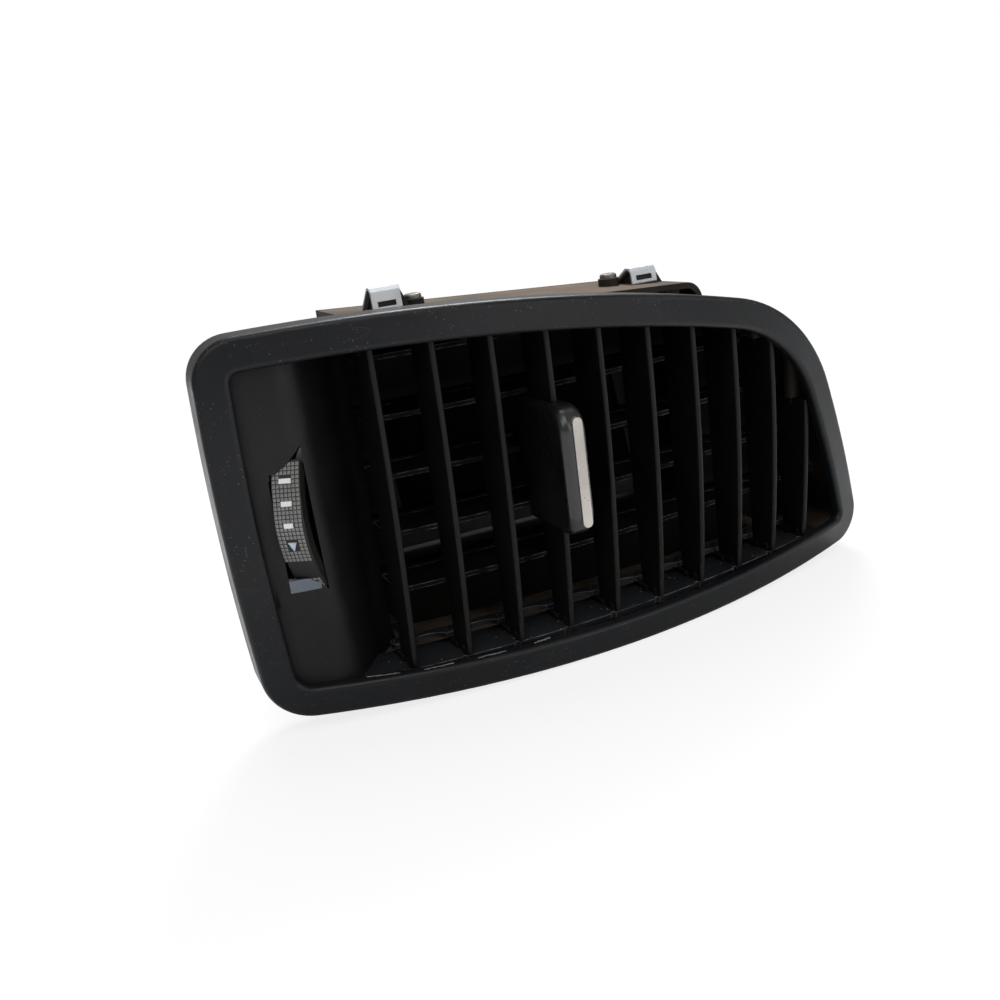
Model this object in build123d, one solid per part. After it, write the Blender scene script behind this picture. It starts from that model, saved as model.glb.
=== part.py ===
from build123d import *

import math
import os

# Side air vent of a dashboard. X runs to the viewer's right, Y into the dashboard, Z up.
# The origin lies in the middle of the bezel's width and height, on the plane that touches
# the foremost point of its curved face. All sizes are in millimetres.

# Curved face of the vent: a barrel with one radius across and one radius up
FACE_APEX_X = -23.2
FACE_APEX_Z = 29.4
FACE_RADIUS_ACROSS = 357.0
FACE_RADIUS_UP = 509.0
FACE_HALF_TURN = 32.0

# Bezel
BEZEL_WIDTH = 218.6
BEZEL_HEIGHT = 113.0
BEZEL_BAND = 9.2
BEZEL_THICKNESS = 2.6
BEZEL_SKIRT = 2.0
BEZEL_DEPTH = 12.0
BEZEL_EDGE_ROUND = 1.5
LIP_WALL = 2.0
LIP_DEPTH = 3.4
SHOULDER_IN = 28.8
SHOULDER_DROP = 21.4
TOP_LEFT_IN = 0.7
TOP_LEFT_DROP = 0.6
TOP_BULGE_X = -20.0
TOP_BULGE_DROP = 2.4
RIGHT_BULGE_IN = 11.1
RIGHT_BULGE_Z = -8.5
BOTTOM_RIGHT_OUT = 4.7
BOTTOM_RIGHT_RISE = 4.9
BOTTOM_LEFT_IN = 3.7
BOTTOM_LEFT_RISE = 5.7
LEFT_BULGE_OUT = 0.1
LEFT_BULGE_Z = 12.0
TOP_LEFT_ROUND = 12.0
BOTTOM_LEFT_ROUND = 15.0
BOTTOM_RIGHT_ROUND = 10.0
SHOULDER_ROUND = 56.0
SMALLEST_ROUND = 2.5
CATCH_COUNT_ACROSS = 4
CATCH_WIDTH = 9.0
CATCH_REACH = 0.9
CATCH_HEIGHT = 1.3
WELD = 0.4

# Control panel at the left, with the ramp that leads the air past it
PANEL_FLAT = 24.8
PANEL_WALL = 2.0
RAMP_ACROSS = 22.3
RAMP_END_Y = 41.0
RAMP_ROUND = 9.0
RAMP_FLAT_DEPTH = 8.8

# Duct housing
WALL = 1.8
FIT_GAP = 0.3
HOUSING_INSET = 2.3
FLANGE_FRONT = 7.8
FLANGE_THICKNESS = 2.6
SIDE_PLATE_OUTER = 4.2
SIDE_PLATE_INNER = 6.2
HOUSING_BACK_Y = 58.0
HOUSING_TOP_DROP_LEFT = 1.8
HOUSING_TOP_DROP_RIGHT = 8.2
HOUSING_TOP_RIGHT_X = 44.5
HOUSING_TOP_ROUND = 6.0
HOUSING_TOP_SPLAY = 3.0

# Vertical vanes
VANE_COUNT = 10
KNOB_VANE = 4
FIRST_VANE_GAP = 1.6
LAST_VANE_IN = 25.05
VANE_THICKNESS = 1.8
VANE_FRONT = 4.2
VANE_BACK = 20.5
VANE_EDGE_ROUND = 0.8
VANE_TOP = 47.2
VANE_COVER = 1.2
PIVOT_DEPTH = 13.0
CRANK_DEPTH = 25.0
PIVOT_R = 1.3
PIVOT_LENGTH = 2.0
RUNNING_GAP = 0.07
VANE_END_GAP = 0.4
BOSS_WALL = 1.3
FOOT_WIDTH = 3.4
FOOT_ROOT = 3.0
PIVOT_ROOT = 2.0
FOOT_HEIGHT = 1.5
CRANK_PIN_R = 1.1

# Lower carrier and the link bar behind it
FLOOR_Z = -45.9
CARRIER_THICKNESS = 2.0
CARRIER_FRONT = 5.0
CARRIER_BACK = 21.0
CARRIER_NOTCH = 1.6
CARRIER_OVER = 0.8
SEAT_RIB = 1.6
BAR_THICKNESS = 1.6
BAR_WIDTH = 5.2
BAR_WAIST = 2.9
LOOSE_GAP = 0.35

# Horizontal vanes behind the vertical ones
ROW_COUNT = 5
ROW_TOP_Z = 42.2
ROW_PITCH = 17.3
KNOB_ROW = 3
ROW_THICKNESS = 1.4
ROW_FRONT = 25.6
ROW_PIVOT_Y = 44.0
ROW_BACK_Y = 51.5
ROW_PIVOT_R = 1.5
ROW_CRANK = 6.0
ROW_CRANK_WALL = 1.6
ROW_BAR_WIDTH = 4.2
GRIP_R = 1.1
GRIP_HALF = 11.5
GRIP_WINDOW = 6.0

# Knob on the fourth vertical vane
KNOB_FRONT = 6.6
KNOB_BACK_Y = 21.8
KNOB_WIDTH = 8.0
KNOB_TOP_Z = 24.2
KNOB_BOTTOM_Z = -13.3
KNOB_CORNER = 7.0
KNOB_EDGE = 2.6
KNOB_SLOT_GAP = 0.35
INSERT_WIDTH = 2.9
INSERT_HEIGHT = 31.5
INSERT_DEPTH = 1.6
INSERT_PROUD = 0.35
INSERT_OFFSET = 0.9
FORK_WIDTH = 6.6
FORK_HEIGHT = 9.6
FORK_BRIDGE = 3.0
FORK_REACH = 6.0
FORK_GAP = 0.4

# Thumbwheel in the control panel and its carrier
WHEEL_IN = 16.7
WHEEL_Z = 6.5
WHEEL_R = 30.5
WHEEL_WIDTH = 8.0
WHEEL_PROUD = 3.7
WHEEL_TURN = 33.0
WHEEL_WEB = 2.4
WHEEL_WEB_R = 15.0
WHEEL_RIM = 4.0
WHEEL_HUB_R = 5.0
WHEEL_CHAMFER = 0.7
WHEEL_TRAVEL = 75.0
SECTOR_TOP = 32.0
SECTOR_BOTTOM = -37.0
SLOT_IN = 18.7
SLOT_WIDTH = 8.2
SLOT_TOP_Z = 19.5
SLOT_BOTTOM_Z = -10.5
INDICATOR_HEIGHT = 3.5
INDICATOR_PROUD = 0.4
SHIELD_WALL = 1.2
SHIELD_HALF = 22.0
SHIELD_SHORT = 8.0
AXLE_R = 2.0
EAR_THICKNESS = 3.5
EAR_GAP = 0.8
EAR_HEIGHT = 10.0
EAR_FOOT_HEIGHT = 26.0
FOOT_PLATE_IN = 1.8
FOOT_PLATE_WIDTH = 9.0
FOOT_PLATE_THICKNESS = 2.0

# Damper behind the vanes
DUCT_LEFT = -50.0
DUCT_RIGHT = 54.0
DUCT_TOP = 22.0
DUCT_BOTTOM = -32.0
DUCT_WALL = 2.4
DUCT_ROUND = 2.1
DUCT_END_Y = 110.0
BACK_PLATE = 2.4
DAMPER_Y = 83.0
DAMPER_SIDE_GAP = 0.8
DAMPER_HALF = 26.4
DAMPER_CLOSED = 75.0
DAMPER_THICKNESS = 2.0
DAMPER_HUB_R = 3.0
DAMPER_AXLE_R = 2.2
SEAL_THICKNESS = 1.5
SEAL_BORDER = 7.0
SEAL_OVER = 0.6
LEVER_THICKNESS = 2.2
LEVER_X_GAP = 0.6
LEVER_PIN_ROOM = 2.3
LINK_CRANK = 10.0
LINK_START_ANGLE = 50.0
LINK_PIN_R = 1.3
LINK_EYE_R = 3.0
LINK_THICKNESS = 2.2
LINK_LOOSE_GAP = 0.9
GASKET_THICKNESS = 4.0
GASKET_LENGTH = 10.0

# Spring clips and screws
CLIP_SHEET = 0.7
CLIP_WIDTH = 8.7
CLIP_Y = 30.0
CLIP_LEFT_X = -50.4
CLIP_RIGHT_X = 32.0
CLIP_HEIGHT_LEFT = 6.6
CLIP_HEIGHT_RIGHT = 4.9
CLIP_LENGTH = 11.0
CLIP_LEAN = 0.5
CLIP_BEND = 1.0
CLIP_CREST = 2.0
CLIP_WINDOW_WIDTH = 5.4
CLIP_WINDOW_HEIGHT = 1.5
CLIP_RIB = 1.4
CLIP_GUSSET = 3.4
CLIP_SCREW_OFFSET = 9.4
BOTTOM_CLIP_X = 45.0
BOTTOM_CLIP_Y = 36.0
SCREW_HEAD_R = 2.6
SCREW_HEAD_HEIGHT = 1.5
SCREW_SHANK_R = 1.0
CLIP_SCREW_LENGTH = 4.0
BACK_SCREW_LENGTH = 8.0
SCREW_BOSS_R = 3.2
SCREW_BOSS_HEIGHT = 2.4
BACK_SCREW_INSET = 5.6
BACK_BOSS_LENGTH = 10.0

FAR = 200.0
THIN = 0.1
HALF_WIDTH = BEZEL_WIDTH / 2
HALF_HEIGHT = BEZEL_HEIGHT / 2
RAMP_START_X = -HALF_WIDTH + PANEL_FLAT
AIR_LEFT = RAMP_START_X + RAMP_ACROSS
FIRST_VANE_X = AIR_LEFT - FIRST_VANE_GAP
VANE_PITCH = (HALF_WIDTH - LAST_VANE_IN - FIRST_VANE_X) / (VANE_COUNT - 1)
VANE_BOTTOM = FLOOR_Z + VANE_END_GAP
BAR_BOTTOM = VANE_BOTTOM + FOOT_HEIGHT + FIT_GAP
WHEEL_X = -HALF_WIDTH + WHEEL_IN
SLOT_LEFT = -HALF_WIDTH + SLOT_IN - SLOT_WIDTH / 2
SLOT_RIGHT = SLOT_LEFT + SLOT_WIDTH
LEVER_RIGHT = DUCT_LEFT - DUCT_WALL - LEVER_X_GAP
KNOB_X = FIRST_VANE_X + (KNOB_VANE - 1) * VANE_PITCH


# Corners of the bezel's outline, clockwise from the top left, each with a point that the
# side after it bulges through
BEZEL_CORNERS = [
    (
        (-HALF_WIDTH + TOP_LEFT_IN, HALF_HEIGHT - TOP_LEFT_DROP),
        TOP_LEFT_ROUND,
        (TOP_BULGE_X, HALF_HEIGHT - TOP_BULGE_DROP),
    ),
    (
        (HALF_WIDTH - SHOULDER_IN, HALF_HEIGHT - SHOULDER_DROP),
        SHOULDER_ROUND,
        (HALF_WIDTH - RIGHT_BULGE_IN, RIGHT_BULGE_Z),
    ),
    (
        (HALF_WIDTH + BOTTOM_RIGHT_OUT, -HALF_HEIGHT + BOTTOM_RIGHT_RISE),
        BOTTOM_RIGHT_ROUND,
        (0.0, -HALF_HEIGHT),
    ),
    (
        (-HALF_WIDTH + BOTTOM_LEFT_IN, -HALF_HEIGHT + BOTTOM_LEFT_RISE),
        BOTTOM_LEFT_ROUND,
        (-HALF_WIDTH - LEFT_BULGE_OUT, LEFT_BULGE_Z),
    ),
]


def circle_through(first, second, third):
    """Centre and radius of the circle through three points."""
    ax, ay = first
    bx, by = second
    cx, cy = third
    twice_area = 2 * (ax * (by - cy) + bx * (cy - ay) + cx * (ay - by))
    a2 = ax * ax + ay * ay
    b2 = bx * bx + by * by
    c2 = cx * cx + cy * cy
    x = (a2 * (by - cy) + b2 * (cy - ay) + c2 * (ay - by)) / twice_area
    y = (a2 * (cx - bx) + b2 * (ax - cx) + c2 * (bx - ax)) / twice_area
    return (x, y), math.dist((x, y), first)


def crossing(first, second, near):
    """Point where two circles cross, the one nearer to a given point."""
    (x0, y0), r0 = first
    (x1, y1), r1 = second
    apart = math.dist((x0, y0), (x1, y1))
    along = (r0 * r0 - r1 * r1 + apart * apart) / (2 * apart)
    aside = math.sqrt(r0 * r0 - along * along)
    ux = (x1 - x0) / apart
    uy = (y1 - y0) / apart
    foot_x = x0 + along * ux
    foot_y = y0 + along * uy
    choices = [(foot_x - aside * uy, foot_y + aside * ux), (foot_x + aside * uy, foot_y - aside * ux)]
    return min(choices, key=lambda point: math.dist(point, near))


def outline(inset):
    """The bezel's outline moved inwards, drawn in X and Z."""
    count = len(BEZEL_CORNERS)
    circles = []
    for index, (corner, _, bulge) in enumerate(BEZEL_CORNERS):
        following = BEZEL_CORNERS[(index + 1) % count][0]
        centre, radius = circle_through(corner, bulge, following)
        circles.append((centre, radius - inset))
    corners = []
    for index, (corner, _, _) in enumerate(BEZEL_CORNERS):
        corners.append(crossing(circles[index - 1], circles[index], corner))
    arcs = []
    for index, (_, _, bulge) in enumerate(BEZEL_CORNERS):
        centre, radius = circles[index]
        reach = radius / math.dist(centre, bulge)
        middle = (centre[0] + (bulge[0] - centre[0]) * reach, centre[1] + (bulge[1] - centre[1]) * reach)
        arcs.append(ThreePointArc(corners[index], middle, corners[(index + 1) % count]))
    face = make_face(arcs)
    for corner, (_, rounding, _) in zip(corners, BEZEL_CORNERS):
        vertex = face.vertices().sort_by_distance(Vector(*corner))[0]
        face = fillet(vertex, max(rounding - inset, SMALLEST_ROUND))
    return face


def rectangle(x0, x1, z0, z1):
    """A rectangle between two limits each way."""
    return Pos((x0 + x1) / 2, (z0 + z1) / 2) * Rectangle(x1 - x0, z1 - z0)


def prism_y(face, y0, y1):
    """A face drawn in X and Z, as a solid from one Y to another."""
    return extrude(Plane.XZ.offset(-y0) * face, amount=-(y1 - y0))


def prism_x(face, x0, x1):
    """A face drawn in Y and Z, as a solid from one X to another."""
    return extrude(Plane.YZ.offset(x0) * face, amount=x1 - x0)


def prism_z(face, z0, z1):
    """A face drawn in X and Y, as a solid from one Z to another."""
    return extrude(Plane.XY.offset(z0) * face, amount=z1 - z0)


def rod_x(x0, x1, y, z, radius):
    """A round rod along X."""
    return Plane.YZ * Pos(y, z, (x0 + x1) / 2) * Cylinder(radius, abs(x1 - x0))


def rod_y(x, y0, y1, z, radius):
    """A round rod along Y."""
    return Plane.XZ * Pos(x, z, -(y0 + y1) / 2) * Cylinder(radius, abs(y1 - y0))


def rod_z(x, y, z0, z1, radius):
    """A round rod along Z."""
    return Pos(x, y, (z0 + z1) / 2) * Cylinder(radius, abs(z1 - z0))


def block(x0, x1, y0, y1, z0, z1):
    """A rectangular block between two limits each way."""
    return Pos((x0 + x1) / 2, (y0 + y1) / 2, (z0 + z1) / 2) * Box(x1 - x0, y1 - y0, z1 - z0)


def lean_back(z, depth=0.0):
    """How far the face's vertical curve has fallen back at a height, for a surface set back by depth."""
    return FACE_RADIUS_UP - math.sqrt((FACE_RADIUS_UP - depth) ** 2 - (z - FACE_APEX_Z) ** 2)


def sweep_back(x, depth=0.0):
    """How far the face's horizontal curve has fallen back at a place across."""
    radius = FACE_RADIUS_ACROSS - depth
    return FACE_RADIUS_ACROSS - math.sqrt(radius * radius - (x - FACE_APEX_X) ** 2)


def face_y(x, z, depth=0.0):
    """Y of the surface that lies depth behind the face."""
    return sweep_back(x, lean_back(z, depth))


def behind(front, back=None):
    """The space behind a surface parallel to the face, as far as another one or without end."""
    low = -BEZEL_HEIGHT
    high = BEZEL_HEIGHT

    def ring(depth, z):
        return (FACE_RADIUS_ACROSS - lean_back(z, depth), z)

    edges = [ThreePointArc(ring(front, low), ring(front, 0), ring(front, high))]
    if back is None:
        deep = FACE_RADIUS_ACROSS - FAR
        edges.append(Polyline(ring(front, high), (deep, high), (deep, low), ring(front, low)))
    else:
        edges.append(Line(ring(front, high), ring(back, high)))
        edges.append(ThreePointArc(ring(back, high), ring(back, 0), ring(back, low)))
        edges.append(Line(ring(back, low), ring(front, low)))
    start = Plane(origin=(FACE_APEX_X, FACE_RADIUS_ACROSS, 0), x_dir=(0, -1, 0), z_dir=(-1, 0, 0))
    axis = Axis((FACE_APEX_X, FACE_RADIUS_ACROSS, 0), (0, 0, 1))
    return revolve(start * make_face(edges), axis, 2 * FACE_HALF_TURN).rotate(axis, -FACE_HALF_TURN)


def vane_x(number):
    """Place across of a vertical vane, counted from 1 at the left."""
    return FIRST_VANE_X + (number - 1) * VANE_PITCH


def pivot_y(number):
    """Y of a vertical vane's pivot."""
    return sweep_back(vane_x(number)) + PIVOT_DEPTH


def crank_y(number):
    """Y of a vertical vane's crank pin."""
    return sweep_back(vane_x(number)) + CRANK_DEPTH


def opening_top(x):
    """Height of the bezel's opening at a place across."""
    strip = outline(BEZEL_BAND) & rectangle(x - THIN / 2, x + THIN / 2, -HALF_HEIGHT, HALF_HEIGHT)
    return strip.bounding_box().max.Y


def vane_top(number):
    """Height of a vertical vane's top, hidden behind the bezel's band."""
    return min(VANE_TOP, opening_top(vane_x(number)) + VANE_COVER)


def row_z(row):
    """Height of a horizontal vane, counted from 1 at the top."""
    return ROW_TOP_Z - (row - 1) * ROW_PITCH


def housing_section(depth):
    """Section of the duct housing at a depth inside its outer surface, drawn in X and Z."""
    main = outline(HOUSING_INSET + depth) & rectangle(AIR_LEFT - WALL + depth, FAR, -FAR, FAR)
    return main + crown(depth)


def housing_core():
    """The space up to the middle of the housing's walls, which bosses and ribs grow from."""
    beside = outline(SIDE_PLATE_OUTER + WALL / 2) & rectangle(RAMP_START_X, AIR_LEFT, -FAR, FAR)
    core = prism_y(housing_section(WALL / 2) + beside, 0, HOUSING_BACK_Y)
    return core & behind(FLANGE_FRONT + FLANGE_THICKNESS / 2)


def skirt_zone():
    """The space round the bezel's skirt, which the bosses keep out of."""
    around = rectangle(-FAR, FAR, -FAR, FAR) - outline(HOUSING_INSET + WALL / 2)
    return prism_y(around, 0, FAR / 4) & behind(0, BEZEL_DEPTH + FIT_GAP + WALL / 2)


def crown_z(x):
    """Height of the straight top of the housing."""
    left_z = HALF_HEIGHT - HOUSING_TOP_DROP_LEFT
    fall = (HOUSING_TOP_DROP_RIGHT - HOUSING_TOP_DROP_LEFT) / (HOUSING_TOP_RIGHT_X - AIR_LEFT)
    return left_z - fall * (x - AIR_LEFT)


def crown(wall):
    """The straight top of the housing, which rises past the bezel's falling top edge."""
    left = AIR_LEFT - WALL + wall
    right = HOUSING_TOP_RIGHT_X - wall
    foot = HALF_HEIGHT - SHOULDER_DROP
    points = [(left, foot - HALF_HEIGHT), (left, crown_z(left) - wall), (right, crown_z(right) - wall)]
    points += [(right + HOUSING_TOP_SPLAY, foot), (right, foot - HALF_HEIGHT)]
    face = make_face(Polyline(*points, close=True))
    vertex = face.vertices().sort_by_distance(Vector(*points[2]))[0]
    return fillet(vertex, HOUSING_TOP_ROUND - wall)


def bezel():
    """The face frame: a curved band with an outer skirt, an inner lip and catches for the housing."""
    band = prism_y(outline(0) - outline(BEZEL_BAND), -FAR / 4, FAR / 4) & behind(0, BEZEL_THICKNESS)
    front = [edge for edge in band.edges() if on_face(edge)]
    band = fillet(front, BEZEL_EDGE_ROUND)
    skirt = prism_y(outline(0) - outline(BEZEL_SKIRT), -FAR / 4, FAR / 4)
    skirt &= behind(BEZEL_THICKNESS - WELD, BEZEL_DEPTH)
    lip = prism_y(outline(BEZEL_BAND - LIP_WALL) - outline(BEZEL_BAND), -FAR / 4, FAR / 4)
    lip &= behind(BEZEL_THICKNESS - WELD, LIP_DEPTH)
    body = band + skirt + lip
    return body + catches(0.0)


def catches(gap):
    """Hooks inside the skirt that hold the housing's flange, or with a gap the pockets for them."""
    catch_front = FLANGE_FRONT + FLANGE_THICKNESS
    band = outline(BEZEL_SKIRT - gap - WELD) - outline(BEZEL_SKIRT + CATCH_REACH + gap)
    ring = prism_y(band, -FAR / 4, FAR / 4)
    ring &= behind(catch_front, catch_front + CATCH_HEIGHT + gap)
    spacing = BEZEL_WIDTH / (CATCH_COUNT_ACROSS + 1)
    bars = []
    for index in range(CATCH_COUNT_ACROSS):
        x = -HALF_WIDTH + (index + 1) * spacing
        reach = CATCH_WIDTH / 2 + gap
        bars.append(block(x - reach, x + reach, -FAR, FAR, -FAR, FAR))
    return ring & (Part() + bars)


def on_face(edge):
    """Whether an edge lies on the bezel's outer face."""
    middle = edge @ 0.5
    return abs(middle.Y - face_y(middle.X, middle.Z)) < 0.02


def panel_form(depth, wall):
    """The control panel's visible form as a filled solid, set back and moved left by a wall."""
    run = RAMP_END_Y - RAMP_FLAT_DEPTH
    slant = math.hypot(run, RAMP_ACROSS)
    shift = wall * slant / run
    ahead = FAR / 8
    points = [
        (RAMP_START_X - shift - ahead * RAMP_ACROSS / run, RAMP_FLAT_DEPTH - ahead),
        (AIR_LEFT - shift, RAMP_END_Y),
        (-HALF_WIDTH - FAR, RAMP_END_Y),
        (-HALF_WIDTH - FAR, RAMP_FLAT_DEPTH - ahead),
    ]
    solid = prism_z(make_face(Polyline(*points, close=True)), -HALF_HEIGHT, HALF_HEIGHT) & behind(depth)
    corner = [edge for edge in solid.edges() if is_ramp_corner(edge, depth)]
    return fillet(corner, RAMP_ROUND - wall)


def is_ramp_corner(edge, depth):
    """Whether an edge is the upright one where the flat panel turns into the ramp."""
    middle = edge @ 0.5
    upright = edge.bounding_box().size.Z > HALF_HEIGHT
    ahead = abs(middle.Y - face_y(middle.X, middle.Z, depth)) < 0.05
    return upright and ahead and middle.X > -HALF_WIDTH


def wheel_place():
    """Place of the thumbwheel's own frame: X along its axle, Y away from the viewer in its plane."""
    turn = math.radians(WHEEL_TURN)
    front = face_y(WHEEL_X, WHEEL_Z, LIP_DEPTH) - WHEEL_PROUD
    centre = (WHEEL_X + WHEEL_R * math.sin(turn), front + WHEEL_R * math.cos(turn), WHEEL_Z)
    return Pos(*centre) * Rot(0, 0, -WHEEL_TURN)


def control_panel():
    """The flat panel with the thumbwheel's slot and the ramp beside the airway."""
    shell = panel_form(LIP_DEPTH, 0.0) - panel_form(LIP_DEPTH + PANEL_WALL, PANEL_WALL)
    plate_limit = prism_y(outline(BEZEL_SKIRT + FIT_GAP), -FAR, FAR) & behind(0, LIP_DEPTH + PANEL_WALL)
    ramp_limit = prism_y(outline(SIDE_PLATE_INNER + FIT_GAP), -FAR, FAR)
    panel = (shell & plate_limit) + (shell & ramp_limit)
    low = SLOT_BOTTOM_Z - INDICATOR_HEIGHT
    panel -= block(SLOT_LEFT, SLOT_RIGHT, -FAR, FAR / 8, low, SLOT_TOP_Z)
    return panel + wheel_shield() - wheel_room()


def wheel_shield():
    """The thin wall between the thumbwheel and the ramp, which closes the view past the wheel."""
    left = WHEEL_WIDTH / 2 + 2 * FIT_GAP
    wall = block(left, left + SHIELD_WALL, -FAR, -SHIELD_SHORT, -SHIELD_HALF, SHIELD_HALF)
    return (wheel_place() * wall) & panel_form(LIP_DEPTH + PANEL_WALL / 2, WELD)


def wheel_room():
    """The space that the turning thumbwheel sweeps, with a gap all round."""
    reach = WHEEL_WIDTH / 2 + FIT_GAP
    return wheel_place() * rod_x(-reach, reach, 0, 0, WHEEL_R + FIT_GAP)


def indicator():
    """The small pale block that closes the slot's lower end."""
    low = SLOT_BOTTOM_Z - INDICATOR_HEIGHT
    high = SLOT_BOTTOM_Z
    body = block(SLOT_LEFT, SLOT_RIGHT, -FAR, FAR / 4, low, high)
    return (body & behind(LIP_DEPTH - INDICATOR_PROUD, LIP_DEPTH + PANEL_WALL)) - wheel_room()


def wheel_sector():
    """The part of a turn that the rim fills, drawn in the wheel's Y and Z: its view and its travel."""
    steps = 5
    lowest = SECTOR_BOTTOM - WHEEL_TRAVEL
    points = [(0, 0)]
    for step in range(steps):
        angle = math.radians(SECTOR_TOP + (lowest - SECTOR_TOP) * step / (steps - 1))
        points.append((-2 * WHEEL_R * math.cos(angle), 2 * WHEEL_R * math.sin(angle)))
    return make_face(Polyline(*points, close=True))


def thumbwheel():
    """The wheel: part of a rim on a thin web, a hub on the axle and a crank pin for the damper's rod."""
    half = WHEEL_WIDTH / 2
    rim = rod_x(-half, half, 0, 0, WHEEL_R)
    rim = chamfer(rim.edges(), WHEEL_CHAMFER)
    rim -= rod_x(WHEEL_WEB - half, half + 1, 0, 0, WHEEL_R - WHEEL_RIM)
    rim &= prism_x(wheel_sector(), -half, half)
    web = rod_x(-half, WHEEL_WEB - half, 0, 0, WHEEL_WEB_R)
    hub = rod_x(-half, half, 0, 0, WHEEL_HUB_R)
    pin_y, pin_z = link_offset()
    pin = rod_x(-half - 2 * FIT_GAP - LINK_THICKNESS, -half + WHEEL_WEB, pin_y, pin_z, LINK_PIN_R)
    bore = rod_x(-half - 1, half + 1, 0, 0, AXLE_R + RUNNING_GAP)
    return wheel_place() * (rim + web + hub + pin - bore)


def link_offset():
    """Offset of a link pin from its crank's axis, away from the viewer and up."""
    angle = math.radians(LINK_START_ANGLE)
    return LINK_CRANK * math.cos(angle), LINK_CRANK * math.sin(angle)


def ear_limits():
    """The bracket's ear along the wheel's axle, beyond the rod's eye."""
    right = -WHEEL_WIDTH / 2 - 2 * FIT_GAP - LINK_THICKNESS - EAR_GAP
    return right - EAR_THICKNESS, right


def wheel_bracket():
    """An ear with a foot plate that stands behind the control panel and holds the thumbwheel's axle."""
    left, right = ear_limits()
    half = EAR_HEIGHT / 2
    foot_half = EAR_FOOT_HEIGHT / 2
    side = Polyline((-WHEEL_R, -foot_half), (0, -half), (0, half), (-WHEEL_R, foot_half), close=True)
    ear = prism_x(make_face(side), left, right) + rod_x(left, right, 0, 0, half)
    ear = wheel_place() * ear
    plate_left = SLOT_LEFT - FOOT_PLATE_IN - FOOT_PLATE_WIDTH
    low = WHEEL_Z - foot_half
    high = WHEEL_Z + foot_half
    plate = block(plate_left, plate_left + FOOT_PLATE_WIDTH, 0, FAR / 4, low, high)
    plate &= behind(0, LIP_DEPTH + PANEL_WALL + FOOT_PLATE_THICKNESS)
    bracket = (ear + plate) & panel_form(LIP_DEPTH + PANEL_WALL, PANEL_WALL)
    return bracket - wheel_place() * rod_x(left - 1, right + 1, 0, 0, AXLE_R)


def wheel_axle():
    """The headed pin that the thumbwheel turns on."""
    left, _ = ear_limits()
    return wheel_place() * rod_x(left, WHEEL_WIDTH / 2, 0, 0, AXLE_R)


def row_right_end(row):
    """X where a horizontal vane ends, short of the airway's right wall."""
    z = row_z(row) + ROW_THICKNESS + FIT_GAP
    strip = housing_section(WALL) & rectangle(-FAR, FAR, z, z + THIN)
    return strip.bounding_box().max.X - WALL


def front_housing():
    """The duct behind the bezel, with the upper vane bearings and the seats of the lower carrier."""
    outside = housing_section(0)
    core = housing_core()
    skirt = skirt_zone()
    tube = prism_y(outside, 0, HOUSING_BACK_Y) & behind(BEZEL_DEPTH + FIT_GAP)
    throat = prism_y(outside & outline(HOUSING_INSET), 0, FAR / 4) & behind(FLANGE_FRONT, BEZEL_DEPTH + 1)
    flange = prism_y(outline(HOUSING_INSET) - outline(SIDE_PLATE_INNER), 0, FAR / 4)
    flange &= behind(FLANGE_FRONT, FLANGE_FRONT + FLANGE_THICKNESS)
    plates = prism_y(side_plates(), 0, RAMP_END_Y + WALL) & behind(FLANGE_FRONT)
    body = tube + throat + flange + plates
    body -= prism_y(housing_section(WALL), -FAR, FAR)
    body -= ramp_side()
    for number in range(1, VANE_COUNT + 1):
        body += (upper_bearing(number) & core) - skirt
    for number in range(1, VANE_COUNT):
        body += carrier_seat(number) & core
    for row in range(1, ROW_COUNT + 1):
        body += row_bearing(row) & core
    for x, z in back_screw_places():
        body += rod_y(x, HOUSING_BACK_Y - BACK_BOSS_LENGTH, HOUSING_BACK_Y, z, SCREW_BOSS_R) & core
    for centre, height in top_clips():
        body += clip_boss(centre, height)
    body -= catches(FIT_GAP)
    for number in range(1, VANE_COUNT + 1):
        top = vane_top(number) + VANE_END_GAP
        hole = rod_z(vane_x(number), pivot_y(number), top - 1, top + PIVOT_LENGTH, PIVOT_R + RUNNING_GAP)
        body -= hole
    for row in range(1, ROW_COUNT + 1):
        body -= row_holes(row)
    for x, z in back_screw_places():
        body -= rod_y(x, HOUSING_BACK_Y - BACK_SCREW_LENGTH, HOUSING_BACK_Y + 1, z, SCREW_SHANK_R)
    for x, z in clip_screw_places():
        body -= rod_z(x, clip_screw_y(), z - CLIP_SCREW_LENGTH, z + 1, SCREW_SHANK_R)
    return body


def side_plates():
    """Section of the plates above and below the ramp, drawn in X and Z."""
    band = outline(SIDE_PLATE_OUTER) - outline(SIDE_PLATE_INNER)
    return band & rectangle(RAMP_START_X - PANEL_WALL, AIR_LEFT + WALL, -HALF_HEIGHT, HALF_HEIGHT)


def ramp_side():
    """The space beside the ramp, kept open for the first vane in front of the airway's left wall."""
    section = outline(SIDE_PLATE_INNER) & rectangle(-FAR, AIR_LEFT, -FAR, FAR)
    return prism_y(section, -FAR, RAMP_END_Y + FIT_GAP)


def upper_bearing(number):
    """Boss that hangs from the housing over a vertical vane's upper pivot."""
    low = vane_top(number) + VANE_END_GAP
    return rod_z(vane_x(number), pivot_y(number), low, low + FAR / 8, PIVOT_R + BOSS_WALL)


def carrier_seat(number):
    """Rib that stands on the duct's floor and carries the lower carrier between two vanes."""
    x = vane_x(number) + VANE_PITCH / 2
    high = FLOOR_Z - CARRIER_THICKNESS
    rib = block(x - SEAT_RIB / 2, x + SEAT_RIB / 2, 0, FAR / 2, -FAR, high)
    return rib & behind(0, CARRIER_BACK)


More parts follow.
